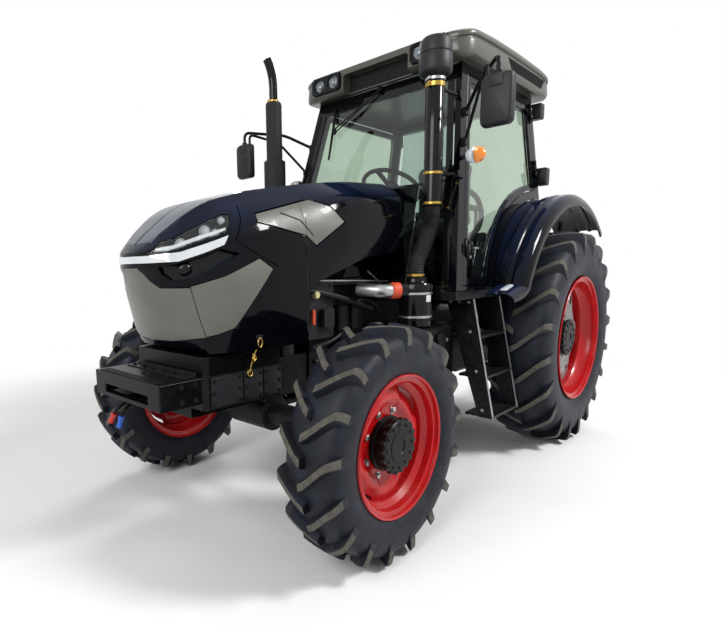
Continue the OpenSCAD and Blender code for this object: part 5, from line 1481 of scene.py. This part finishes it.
@dataclass
class Cab:
    """Fittings on the cab: mirrors, lamps, wipers, handles and what shows inside."""
    half: float = 755
    sill: float = 1200
    screen: float = 1455
    lean: float = tan(radians(7.4))
    rake: float = tan(radians(14))
    mirror: Point = (1537, 985, 2185)
    indicator: tuple[float, float] = (1221, 1998)

    def flank(self, x: float, z: float, off: float = 0.0, sign: int = 1) -> Point:
        """Gives a point on a cab side, moved outwards."""
        return x, sign * (self.half - (z - self.sill) * self.lean + off), z

    def pane(self, y: float, z: float, off: float = 0.0) -> Point:
        """Gives a point on the windscreen's plane, moved forwards."""
        return self.screen - (z - self.sill) * self.rake + off, y, z

    def mirrors(self) -> None:
        """Builds the mirror heads with their glass and the looped tube arms."""
        head, arms = Shape(), Shape()
        along, middle, high = self.mirror
        for _ in both_sides(head, arms):
            rows = ((1510, 0.93, 20), (1513, 0.97, 26), (1524, 1.0, 30), (1546, 0.98, 32), (1557, 0.93, 34),
                (1563, 0.84, 36))
            head.loft([[(x, middle + a * share, high + b * (1 - (1 - share) * 0.7)) for a, b in rounded(84, 128, r)]
                for x, share, r in rows])
            head.slab(Axis.X, (middle, high + 92), (36, 30), 8, ((1560, 0), (1566, 0), (1568, 4)))
            head.use(1).slab(Axis.X, (middle, high), (73, 115), 22, ((1511, 0), (1508.5, 0)))
            for z, peak, reach in ((2278, 2402, 0), (2092, 2378, -58)):
                x0, y0, _ = self.flank(self.screen - (z - self.sill) * self.rake - 35, z, 12)
                path = [(x0, y0, z), (x0 + 150, y0 + 150, z + (peak - z) * 0.8), (along, middle + reach, peak),
                    (along, middle + reach, high + 115)]
                arms.tube(crook(path, 45, 6), 9.5 if reach else 11, 16)
                arms.box((x0 - 22, y0 - 13, z - 22), (x0 + 22, y0 + 14, z + 22))
            arms.turn([(0, -14), (20, -14), (20, 12), (14, 17), (0, 17)], (along, middle, high + 125), UP, 24)
        head.piece("mirror_heads", "black_plastic", BLACK_PLASTIC, MIRROR_GLASS, smooth=40, bevel=1.5,
            stands_for=("mirrors",))
        arms.piece("mirror_arms", "black_satin_paint", SATIN_BLACK, bevel=1)

    def signals(self) -> None:
        """Builds the two-colour indicators on the front posts and the lamps at the rear."""
        shape = Shape()
        for _ in both_sides(shape):
            x, y, z = self.flank(*self.indicator)
            shape.use(2).tube([(x, y - 2, z), (x, y + 30, z)], 14, 18)
            rows = ((24, 0.42), (34, 0.7), (58, 0.95), (88, 1.0), (118, 0.84), (137, 0.52), (145, 0.12))
            for mark, part in ((2, rows[:2]), (1, rows[1:4]), (0, rows[3:])):
                shape.use(mark).loft([[(x + 6 + 40 * s * cos(a), y + out, z + 48 * s * sin(a)) for a in angles(28)] for
                    out, s in part], caps=mark == 0)
            shape.use(2).turn([(0, 0), (33, 0), (33, 20), (0, 20)], (-170, 443, 2655), BACK, 32)
            shape.use(0).turn([(31, 18), (29, 24), (18, 28), (0, 29)], (-166, 443, 2655), BACK, 32)
        shape.piece("indicator_lamps", "amber_lamp", AMBER_LENS, LED_MODULE, BLACK_PLASTIC, smooth=40, bevel=0.8,
            stands_for=("signal_lamps",))
        post, lens = Shape(), Shape()
        for _ in both_sides(post, lens):
            for z, tall, red in ((2494, 56, False), (2010, 64, True)):
                _, y, _ = self.flank(0, z)
                rows = ((14, 0.8), (6, 1.0), (-52, 1.0), (-62, 0.9))
                post.loft([[(x, y + 28 + a * s, z + b * s) for a, b in rounded(42, tall, 12)] for x, s in rows])
                post.box((2, y - 8, z - 14), (24, y + 4, z + 14))
                for part, share in enumerate((0.33, 0.0, -0.33) if red else (0.0,)):
                    lens.use((1, 0, 2)[part] if red else 2)
                    deep = tall * (0.29 if red else 0.8)
                    lens.loft([[(x, (y + 28) + a * s, z + share * 2 * tall + b * s) for a,
                        b in rounded(33, deep, min(8, deep * 0.6))] for x,
                        s in ((-60, 1.0), (-66, 0.98), (-69, 0.85))])
        post.piece("rear_lamp_housings", "black_plastic", BLACK_PLASTIC, bevel=2)
        lens.piece("rear_lamp_lenses", "amber_lamp", RED_LENS, AMBER_LENS, LAMP_COVER, bevel=0.8)

    def wiper(self) -> None:
        """Builds the wiper with its twin arms, and the black border on the windscreen."""
        shape = Shape()
        for start, end in (((0, 2568, 18), (-372, 2362, 26)), ((-26, 2556, 18), (-366, 2330, 26))):
            shape.tube([self.pane(*start), self.pane(*end)], 5, 12)
        shape.tube([self.pane(-400, 2528, 16), self.pane(-392, 2142, 16)], 6, 10)
        shape.tube([self.pane(-400, 2520, 6), self.pane(-392, 2150, 6)], [8, 3], 8)
        shape.box(tuple(self.pane(-382, 2325, 10)), tuple(self.pane(-358, 2370, 34)))
        shape.turn([(0, -20), (20, -20), (20, 18), (14, 24), (0, 24)], self.pane(-14, 2562, 6), (1, 0, 0.25), 24)
        shape.piece("wiper", "black_satin_paint", SATIN_BLACK, bevel=0.8)
        border = Shape()
        for half, low, high in ((560, 2490, 2586), (690, 1858, 1872)):
            quad = [self.pane(y, z, -3) for y, z in ((-half, low), (half, low), (half, high), (-half, high))]
            border.loft([[(x + d, y, z) for x, y, z in quad] for d in (0, 2)])
        for _ in both_sides(border):
            inner = [self.pane((self.flank(0, z)[1] - cut), z, -3) for z in (1240, 2500) for cut in (48, 92)]
            quad = [inner[0], inner[1], inner[3], inner[2]]
            border.loft([[(x + d, y, z) for x, y, z in quad] for d in (0, 2)])
        border.piece("screen_border", "black_plastic", GLOSS_PLASTIC)

    def doors(self) -> None:
        """Builds handles and locks that ride on the doors."""
        grip = [(1210, 1800, -46), (1080, 1826, -60), (930, 1790, -66), (880, 1690, -66), (960, 1590, -60),
            (1190, 1508, -46)]
        for sign, name in ((1, "left"), (-1, "right")):
            shape = Shape()
            shape.tube(crook([self.flank(x, z, off, sign) for x, z, off in grip], 70, 8), 17, 16)
            for x, z in ((1210, 1800), (1190, 1508)):
                shape.tube([self.flank(x, z, -50, sign), self.flank(x + 10, z, -24, sign)], 15, 14)
            shape.tube(crook([self.flank(1010, 1500, -40, sign), self.flank(1000, 1300, -42, sign),
                self.flank(960, 1268, -30, sign)], 40, 6), 8, 12)
            shape.turn([(0, -8), (17, -8), (17, 8), (0, 8)], self.flank(958, 1266, -30, sign), (0, sign, 0), 20)
            shape.use(1).loft([[self.flank(1262 + a * s, 1452 + b * s, off, sign) for a, b in rounded(20, 62, 12)] for
                off, s in ((-1, 1.0), (9, 1.0), (13, 0.85))])
            shape.tube(crook([self.flank(1262, 1492, 10, sign), self.flank(1262, 1486, 30, sign),
                self.flank(1262, 1424, 30, sign), self.flank(1262, 1418, 10, sign)], 14, 4), 8, 12)
            shape.use(2).turn([(0, 0), (9, 0), (9, 3), (0, 3)], self.flank(1262, 1402, 12, sign), (0, sign, 0), 16)
            shape.piece("door_handles_" + name, "black_plastic", BLACK_PLASTIC, GLOSS_PLASTIC, ZINC_STEEL, smooth=40,
                body=name + "_door")

    def inside(self) -> None:
        """Builds console, levers, pedals, floor mat, wheel boss and sun blind."""
        shape = Shape()
        shape.prism([(120, 1352), (760, 1352), (800, 1420), (790, 1560), (640, 1600), (180, 1590), (120, 1540)],
            Axis.Y, -545, -330)
        shape.prism([(180, 1352), (620, 1352), (600, 1470), (200, 1480)], Axis.Y, 350, 540)
        for k, (x, y, tall) in enumerate(((700, -400, 150), (640, -470, 120), (540, -400, 90), (470, -470, 90))):
            shape.use(0).tube([(x, y, 1560), (x + 20, y, 1580 + tall)], 7, 12)
            shape.use(2 if k == 1 else 0).turn([(0, -26), (13, -24), (18, 0), (15, 20), (0, 26)],
                (x + 22, y, 1590 + tall), (0.15, 0, 1), 20)
        shape.use(1).slab(Axis.Z, (960, 0), (330, 480), 40, ((1201, 0), (1208, 0)))
        for y in (-150, -60, 130):
            shape.use(0).tube(crook([(1170, y, 1500), (1130, y, 1330), (1080, y, 1290)], 60, 6), 9, 12)
            shape.box((1050, y - 35, 1262), (1072, y + 35, 1330))
        shape.use(0).prism([(1046, 1742), (1056, 1760), (1090, 1792), (1180, 1846), (1196, 1840), (1196, 1800)],
            Axis.Y, -225, 225)
        shape.tube([(1080, -430, 2540), (1080, 430, 2540)], 24, 24)
        shape.piece("cab_controls", "black_plastic", BLACK_PLASTIC, HOSE_RUBBER, ORANGE_SILICONE, smooth=36, bevel=4)
        boss = Shape()
        tilt = radians(30)
        base = Vector((1088, 0, 1760))
        way = Vector((-sin(tilt), 0, cos(tilt)))
        boss.turn([(0, 186), (30, 190), (46, 196), (52, 200), (50, 206), (30, 212), (0, 213)], base, way, 36)
        boss.use(1)
        grip = base + way * 180.3
        side = Vector(LEFT)
        up = way.cross(side)
        knob = grip + (side * cos(2.2) + up * sin(2.2)) * 205
        boss.turn([(0, 14), (20, 18), (25, 36), (20, 52), (0, 56)], knob, way, 24)
        boss.piece("hand_wheel_boss", "black_plastic", GLOSS_PLASTIC, BLACK_PLASTIC, smooth=40, body="hand_wheel")

    def build(self) -> None:
        """Builds all the cab's fittings."""
        self.mirrors()
        self.signals()
        self.wiper()
        self.doors()
        self.inside()


@dataclass
class Seat:
    """The driver's seat: stitched cloth cushions on a sprung base."""
    middle: float = 420
    base: float = 1350
    # Cover: grid and largest swelling in millimetres, air pressure and frames of the simulation
    voxel: float = 6
    swelling: float = 22
    pressure: float = 4
    frames: int = 20
    # Cushions: name, centre and half sizes
    pads: tuple[tuple[str, Point, Point], ...] = (("seat_cushion", (425, 0, 1632), (225, 245, 54)),
        ("seat_backrest", (232, 0, 1905), (50, 235, 272)))

    def pad(self, name: str, centre: Point, half: Point) -> None:
        """Builds one cushion and lets air pressure fill its cover.

        Args:
            name: the piece's name.
            centre: its middle.
            half: its half sizes along the row axes.
        """
        thin = min(range(3), key=lambda k: half[k])
        wide = [k for k in range(3) if k != thin]
        shape = Shape()
        rings = []
        for along, share in ((-1.0, 0.84), (-0.8, 0.95), (-0.4, 1.0), (0.4, 1.0), (0.8, 0.95), (1.0, 0.84)):
            loop = []
            for a, b in rounded(half[wide[0]] * share, half[wide[1]] * share, min(70.0, half[wide[0]] * 0.4), 7):
                spot = [0.0, 0.0, 0.0]
                spot[wide[0]], spot[wide[1]], spot[thin] = a, b, along * half[thin]
                loop.append([c + s for c, s in zip(centre, spot)])
            rings.append(loop)
        shape.loft(rings)
        cushion = stand(name, shape.mesh(name))
        self.fill(cushion)
        made = dress(cushion, CHASSIS, (SEAT_CLOTH,), smooth=60, rounds=1, stands_for=("seat",) if name
            == "seat_cushion" else ())

    def fill(self, cushion: Object) -> None:
        """Remeshes a cushion, swells it under pressure and keeps the settled shape.

        Args:
            cushion: the cushion.
        """
        grid = cushion.modifiers.new("grid", "REMESH")
        grid.mode, grid.voxel_size = "VOXEL", self.voxel * MM
        self.keep(cushion)
        start = [v.co.copy() for v in cushion.data.vertices]
        cloth = cushion.modifiers.new("cover", "CLOTH")
        cloth.settings.use_pressure = True
        cloth.settings.uniform_pressure_force = self.pressure
        cloth.settings.effector_weights.gravity = 0
        scene = bpy.context.scene
        for step in range(1, self.frames + 1):
            scene.frame_set(step)
        self.keep(cushion)
        scene.frame_set(1)
        for vertex, old in zip(cushion.data.vertices, start):
            move = vertex.co - old
            vertex.co = old + move * min(1.0, self.swelling * MM / max(move.length, 1e-9))

    def keep(self, cushion: Object) -> None:
        """Applies the modifiers of a cushion.

        Args:
            cushion: the cushion.
        """
        done = cushion.evaluated_get(bpy.context.evaluated_depsgraph_get())
        fresh = bpy.data.meshes.new_from_object(done)
        cushion.modifiers.clear()
        cushion.data = fresh

    def frame(self) -> None:
        """Builds the sprung base, its bellows, slides and arm rests."""
        shape = Shape()
        folds = [(self.base + 12 + k * 13, 0 if k % 2 else 12) for k in range(15)]
        shape.slab(Axis.Z, (self.middle, 0), (150, 150), 40, folds)
        shape.use(1).slab(Axis.Z, (self.middle, 0), (190, 170), 30, ((self.base, 0), (self.base + 14, 0)))
        shape.slab(Axis.Z, (self.middle, 0), (215, 215), 40, ((1548, 0), (1576, 0)))
        for _ in both_sides(shape):
            shape.tube(crook([(190, 262, 1560), (196, 262, 1760), (210, 262, 1790)], 40, 6), 13, 14)
            shape.use(2).loft([[(330 + a, 276 + b, z) for a, b in rounded(150 - i, 27 - i, 22 - i)] for i,
                z in ((6, 1776), (0, 1784), (0, 1806), (7, 1815))])
            shape.use(1)
        shape.piece("seat_base", "black_satin_paint", HOSE_RUBBER, SATIN_BLACK, BLACK_PLASTIC, smooth=34, bevel=2)

    def build(self) -> None:
        """Builds the cushions and what carries them."""
        for name, centre, half in self.pads:
            self.pad(name, centre, half)
        self.frame()


@dataclass
class FrontEnd:
    """Bolted plates, latch and couplings round the front box and bumper."""
    half: float = 325
    nose: float = 2950

    def plates(self) -> None:
        """Builds the overlay plates, the flange behind the bumper and their bolts."""
        shape = Shape()
        for _ in both_sides(shape):
            for start, end in ((2470, 2592), (2600, 2722), (2730, 2918)):
                shape.use(0).slab(Axis.Y, ((start + end) / 2, 794), ((end - start) / 2, 72), 6,
                    ((self.half - 1, 0), (self.half + 4, 0), (self.half + 5, 1.5)))
                shape.use(1)
                for x in (start + 16, end - 16):
                    for z in (738, 794, 850):
                        shape.bolt((x, self.half + 4.5, z), LEFT, 15)
            for x in (2560, 2640, 2720):
                shape.bolt((x, 307, 944), LEFT, 12)
        shape.use(0).box((2949, -262, 851), (2956, 262, 890))
        shape.box((2949, -262, 869), (3012, 262, 876))
        for k in range(21):
            y = -250 + 25 * k
            shape.loft([[(3112 + i, y - 8 + i, z), (3166 - i, y - 2 + i, z), (3166 - i, y + 8 - i, z),
                (3112 + i, y + 2 - i, z)] for i, z in ((0, 868), (0, 873), (1.5, 875))])
        shape.use(1)
        for k in range(6):
            shape.bolt((2990, -225 + 90 * k, 876), UP, 17)
        for _ in both_sides(shape):
            for z in (775, 845):
                shape.bolt((2985, 302, z), LEFT, 20)
                shape.bolt((3060, 302, z), LEFT, 20)
        shape.piece("front_plates_and_bolts", "black_satin_paint", SATIN_BLACK, CAST_BLACK, bevel=0.8)

    def latch(self) -> None:
        """Builds the spring latches: the draw hook on the box and its keeper on the bonnet."""
        hook, keeper = Shape(), Shape()
        for _ in both_sides(hook, keeper):
            hook.use(1).box((2672, self.half + 4, 838), (2704, self.half + 9, 880))
            hook.use(0).tube(crook([(2688, self.half + 12, 858), (2684, self.half + 16, 900), (2668, 356, 960),
                (2664, 366, 984)], 30, 6), 4.5, 12)
            for z, r in ((858, 15), (930, 10)):
                x, y = 2688 - (z - 858) * 0.2, self.half + 13 + (z - 858) * 0.24
                loop = [(x + r * cos(a), y, z + r * sin(a)) for a in angles(20, True)]
                hook.tube(loop, 3.6, 10, caps=False)
            coil = [(2676 + 8 * cos(t * 1.05), 346 + t * 0.12, 912 + t / 2 + 3 * sin(t * 1.05)) for t in range(80)]
            hook.tube(coil, 2.2, 8)
            loop = [(2660 + 13 * cos(a), 384, 1008 + 22 * sin(a)) for a in angles(20, True)]
            keeper.tube(loop, 3.6, 10, caps=False)
            keeper.use(1).box((2646, 372, 1024), (2676, 386, 1046))
            keeper.use(0)
        hook.piece("latch_hooks", "bright_trim", BRASS_CLAMP, SATIN_BLACK)
        keeper.piece("latch_keepers", "bright_trim", BRASS_CLAMP, SATIN_BLACK, body="bonnet_assembly")

    def couplings(self) -> None:
        """Builds the two capped couplings on bent pipes below the bumper."""
        shape = Shape()
        for mark, path in ((1, [(2925, -176, 735), (3040, -185, 712), (3118, -205, 668), (3122, -225, 640)]),
                (2, [(2925, -120, 735), (3040, -128, 716), (3120, -136, 672), (3124, -146, 640)])):
            shape.use(0).tube(crook(path, 40, 6), 9, 14)
            a, b = Vector(path[-2]), Vector(path[-1])
            way = (b - a).normalized()
            shape.use(mark).turn([(0, -6), (14, -6), (15, 0), (15, 14), (12, 18), (12, 44), (15, 48), (15, 56),
                (10, 60), (0, 60)], b, way, 24)
        shape.piece("front_couplings", "black_plastic", SATIN_BLACK, RED_CAP, BLUE_CAP, smooth=40)

    def build(self) -> None:
        """Builds the front fittings."""
        self.plates()
        self.latch()
        self.couplings()


@dataclass
class EngineBay:
    """What shows below the bonnet's edge: service panel, pipes, drum, rods and radiator."""
    # Bent pipes: corners, reach of the rounding, steps in it, radius and sides
    pipes: tuple[tuple[tuple[Point, ...], float, int, float, int],
        ...] = ((((2230, 240, 1010), (2420, 262, 1000), (2520, 262, 985)), 40, 6, 30, 22),
        (((2250, 250, 1250), (1980, 300, 1190), (1760, 300, 1130), (1600, 260, 1090)), 90, 8, 17, 16),
        (((2120, 230, 900), (1980, 290, 940), (1820, 262, 1020), (1700, 226, 1010)), 80, 8, 11, 14),
        (((2100, 228, 820), (1900, 268, 800), (1700, 240, 840)), 60, 6, 13, 14),
        (((1790, 238, 1140), (1690, 285, 1160), (1560, 262, 1120), (1480, 235, 1060)), 60, 6, 9, 12))

    def build(self) -> None:
        """Builds both sides of the bay."""
        shape = Shape()
        for _ in both_sides(shape):
            shape.slab(Axis.Y, (2135, 1120), (165, 165), 16, ((252, 0), (262, 0)))
            for x, z in ((2000, 985), (2000, 1255), (2270, 985), (2270, 1255)):
                shape.tube([(x, 205, z), (x, 254, z)], 12, 12)
                shape.bolt((x, 262, z), LEFT, 14)
            shape.slab(Axis.Y, (2050, 1072), (44, 52), 8, ((260, 0), (300, 0)))
            for path, bend, steps, radius, sides in self.pipes:
                shape.tube(crook(path, bend, steps), radius, sides)
            shape.use(1).tube([(2290, 300, 1290), (1470, 300, 1262)], 7, 14)
            shape.tube([(1700, 302, 1330), (1560, 302, 1256)], 6, 12)
            for x in (1780, 1880, 1980):
                shape.bolt((x, 216, 700), LEFT, 22)
        shape.use(2).turn([(0, 0), (20, 0), (22, 6), (22, 24), (18, 30), (0, 31)], (2140, 262, 1206), LEFT, 28)
        shape.use(3).slab(Axis.Y, (2166, 1084), (11, 42), 9, ((276, 0), (288, 0)))
        shape.use(0).tube([(2166, 258, 1112), (2166, 280, 1112)], 8, 12)
        shape.turn([(0, 0), (88, 0), (94, 8), (94, 60), (88, 66), (88, 500), (94, 506), (94, 560), (88, 568),
            (0, 568)], (1640, 0, 1350), AHEAD, 40)
        shape.tube(crook([(2200, 0, 1350), (2290, 0, 1350), (2320, 0, 1290), (2240, 0, 1190)], 50, 6), 42, 24)
        shape.prism([(2345, 900), (2425, 900), (2425, 1490), (2345, 1490)], Axis.Y, -300, 300)
        shape.piece("engine_bay_fittings", "black_plastic", BLACK_PLASTIC, ZINC_STEEL, CREAM_CAP, ORANGE_SILICONE,
            smooth=38, bevel=1.5)


@dataclass
class SideGear:
    """Slatted ladders, tank straps and the marker lamps on the wings."""
    start: float = 840
    length: float = 390
    plate: float = 16
    hub_z: float = 795
    wing_r: float = 1040
    wing_in: float = 590
    wing_out: float = 960
    wing_lip: float = 70
    wing_wall: float = 12
    wing_foot: float = radians(24)
    wing_top: float = radians(128)
    # Wing section as shares of its width from the cab outwards, and of the lip depth
    wing_line: Outline = ((0, 0), (0.5, 0), (0.53, 0.24), (0.69, 0.28), (0.715, 0.08), (0.745, 0.08), (0.77, 0.26),
        (0.9, 0.2), (0.96, -0.1), (1, -0.55), (1, -1))

    def ladders(self) -> None:
        """Builds the ladders with slatted treads and folded side plates."""
        shape = Shape()
        for _ in both_sides(shape):
            outline = ((575, 1150), (755, 1150), (905, 414), (815, 414))
            for x in (self.start, self.start + self.length - self.plate):
                shape.use(0).prism(outline, Axis.X, x, x + self.plate)
                shape.use(1)
                worn = [(x - 1, 755.5, 1148), (x - 1, 905.5, 416)]
                shape.loft([[(a, b, z), (a + self.plate + 2, b, z), (a + self.plate + 2, b - 3, z), (a, b - 3, z)] for
                    a, b, z in worn])
                for y, z in ((605, 1128), (665, 1128), (725, 1128), (838, 460), (790, 700), (742, 944)):
                    out = x - 1 if x == self.start else x + self.plate + 1
                    shape.bolt((out, y, z), (1 if x > self.start else -1, 0, 0), 14)
            for share in (0, 0.34, 0.68):
                z, outer = 430 + share * 720, 905 - 150 * share
                shape.use(0)
                for k in range(5):
                    low = outer - 180 + 37.5 * k
                    shape.box((self.start + 8, low, z - self.plate), (self.start + self.length - 8, low + 30, z))
                for x in (self.start + 16, self.start + 120, self.start + 255, self.start + self.length - 30):
                    shape.box((x, outer - 178, z - 14), (x + 14, outer - 2, z - 3))
                for k in range(9):
                    shape.box((self.start + 40 + 36 * k, outer - 29, z - 1),
                        (self.start + 52 + 36 * k, outer - 1, z + 4))
        shape.piece("ladder_steps", "black_satin_paint", SATIN_BLACK, ZINC_STEEL, bevel=1.2, stands_for=("steps",))

    def straps(self) -> None:
        """Builds the tank straps, filler caps and the lower guard plates."""
        shape = Shape()
        for _ in both_sides(shape):
            for x in (1335, 1575):
                loop = [(490 + a, 800 + b) for a, b in rounded(162, 202, 42)]
                skin = [(490 + a, 800 + b) for a, b in rounded(158, 198, 38)]
                shape.loft([[(at, *p) for p in line] for at, line in ((x, loop), (x + 32, loop), (x + 32, skin),
                    (x, skin), (x, loop))], caps=False)
                shape.use(1).bolt((x + 16, 651, 900), LEFT, 17)
                shape.use(0)
            shape.turn([(0, 0), (44, 0), (48, 5), (48, 26), (42, 32), (0, 33)], (1440, 640, 905), (0, 1, 0.2), 36)
            shape.use(2).slab(Axis.Y, (1470, 800), (60, 90), 14, ((648, 0), (652, 0)))
        shape.piece("tank_straps_and_caps", "black_satin_paint", SATIN_BLACK, ZINC_STEEL, BLACK_PLASTIC, bevel=1)

    def markers(self) -> None:
        """Builds the clear marker lamps let into the wing toes."""
        shape = Shape()
        for _ in both_sides(shape):
            way = Vector((181, 0, -42)).normalized()
            up = Vector((42, 0, 181)).normalized()
            centre = Vector((1040, 878, 1204))
            for mark, grow, heights in ((1, 5, (0, 5)), (0, 0, (4, 11, 14))):
                shape.use(mark).loft([[centre + way * a + Vector((0, b, 0)) + up * h for a,
                    b in rounded(62 + grow - (h > 12) * 6, 20 + grow - (h > 12) * 6, 13)] for h in heights])
        shape.piece("wing_marker_lamps", "clear_lamp", LED_MODULE, GLOSS_PLASTIC, bevel=1)

    def wings(self) -> None:
        """Builds the pressed wings: two rounded ridges with a groove, a hanging lip and a toe at the foot."""
        corners = [(0.0, self.wing_in + a * (self.wing_out - self.wing_in), b * self.wing_lip) for a,
            b in self.wing_line]
        line = [(p.y, p.z) for p in crook(corners, 11, 4)]
        foot = Vector((cos(self.wing_foot), sin(self.wing_foot)))
        knee, tip = foot * self.wing_r, Vector((1134.0, 1168.0 - self.hub_z))
        path = [(Vector((cos(a), sin(a))) * self.wing_r, Vector((cos(a), sin(a)))) for a in
            (self.wing_top + (self.wing_foot - self.wing_top) * k / 60 for k in range(61))]
        ahead = (tip - knee).normalized()
        level = Vector((-ahead.y, ahead.x))
        toe = [path[-1]]
        for k in range(1, 13):
            share = k / 12
            ease = min(1.0, share * 2.4)
            toe.append((knee.lerp(tip, share), foot.lerp(level, ease).normalized()))
        shape = Shape()
        for _ in both_sides(shape):
            for track, inner in ((path, self.wing_in), (toe, 786.0)):
                part = [p for p in line if p[0] >= inner - 0.5]
                rings = []
                for k, (base, way) in enumerate(track):
                    calm = 1.0 - 0.4 * k / len(track) if track is toe else 1.0
                    outer, under = [], []
                    for i, (y, h) in enumerate(part):
                        (y0, h0), (y1, h1) = part[max(i - 1, 0)], part[min(i + 1, len(part) - 1)]
                        down = Vector((h1 - h0, y0 - y1)).normalized() * self.wing_wall
                        for store, (a, b) in ((outer, (y, h)), (under, (y + down.x, h + down.y))):
                            spot = base + way * (b * calm)
                            store.append((spot.x, a, self.hub_z + spot.y))
                    rings.append(outer + under[::-1])
                shape.loft(rings)
        shape.piece("wing_skins", "black_gloss_paint", GLOSS_BLACK, smooth=50, stands_for=("rear_wings",))

    def build(self) -> None:
        """Builds the side fittings."""
        self.wings()
        self.ladders()
        self.straps()
        self.markers()


@dataclass
class RearGear:
    """Shaft guard, couplers, pins and sleeves at the three-point lift."""

    def build(self) -> None:
        """Builds the rear fittings."""
        shape = Shape()
        for _ in both_sides(shape):
            shape.box((-452, 92, 662), (-329, 98, 742))
        shape.box((-452, -98, 736), (-329, 98, 742))
        shape.slab(Axis.X, (0, 945), (150, 48), 10, ((-329, 0), (-392, 0)))
        for k, y in enumerate((-105, -35, 35, 105)):
            shape.use(1).turn([(0, 0), (20, 0), (20, 18), (16, 22), (16, 38), (0, 38)], (-391, y, 945), BACK, 24)
            shape.use(2 if k % 2 else 3).turn([(0, 36), (19, 36), (20, 40), (20, 52), (16, 58), (0, 58)],
                (-391, y, 945), BACK, 24)
        shape.use(1)
        for _ in both_sides(shape):
            for z in (560, 700, 840, 960):
                shape.bolt((-330, 182, z), BACK, 24)
        shape.use(0).slab(Axis.X, (0, 1560), (260, 60), 10, ((-14, 0), (-2, 0)))
        shape.use(4).slab(Axis.X, (0, 1560), (240, 48), 6, ((-13, 0), (-17, 0)))
        shape.piece("rear_guard_and_couplers", "black_satin_paint", SATIN_BLACK, ZINC_STEEL, RED_CAP, BLUE_CAP,
            PALE_LABEL, smooth=36, bevel=1.2)


# Nodes that keep their CAD shape, by finish and edge rounding in millimetres
NODE_FINISHES: tuple[tuple[Finish, float, str], ...] = ((CAST_BLACK, 3, "front_axle rear_axle"),
    (CAST_BLACK, 4, "knuckle_left knuckle_right"), (CAST_BLACK, 5, "engine_block transmission"),
    (ZINC_STEEL, 1.5, "track_rod"), (SATIN_BLACK, 1.5, "bonnet_hinges lift_rods"), (SATIN_BLACK, 2, "drawbar"),
    (SATIN_BLACK, 3, "front_frame cab_base lift_arms lower_links"), (SATIN_BLACK, 4, "front_bumper"),
    (SATIN_BLACK, 6, "side_tanks"), (GLOSS_BLACK, 4, "cowl cab_frame door_left door_right"),
    (TINTED_GLASS, 0, "door_glass_left door_glass_right"), (SCREEN_GLASS, 0, "windscreen rear_window"),
    (BLACK_PLASTIC, 8, "dashboard"), (BLACK_PLASTIC, 2, "steering_wheel"))


def main() -> None:
    """Builds the sub-assemblies in order."""
    logging.basicConfig(level=logging.INFO, format="%(message)s")
    Studio().build()
    for finish, bevel, nodes in NODE_FINISHES:
        for node in nodes.split():
            paint(node, finish, bevel)
    for part in (Wheels(), Bonnet(), Roof(), Stacks(), Cab(), Seat(), FrontEnd(), EngineBay(), SideGear(), RearGear()):
        LOG.info("building %s", type(part).__name__)
        part.build()


if __name__ == "__main__":
    main()
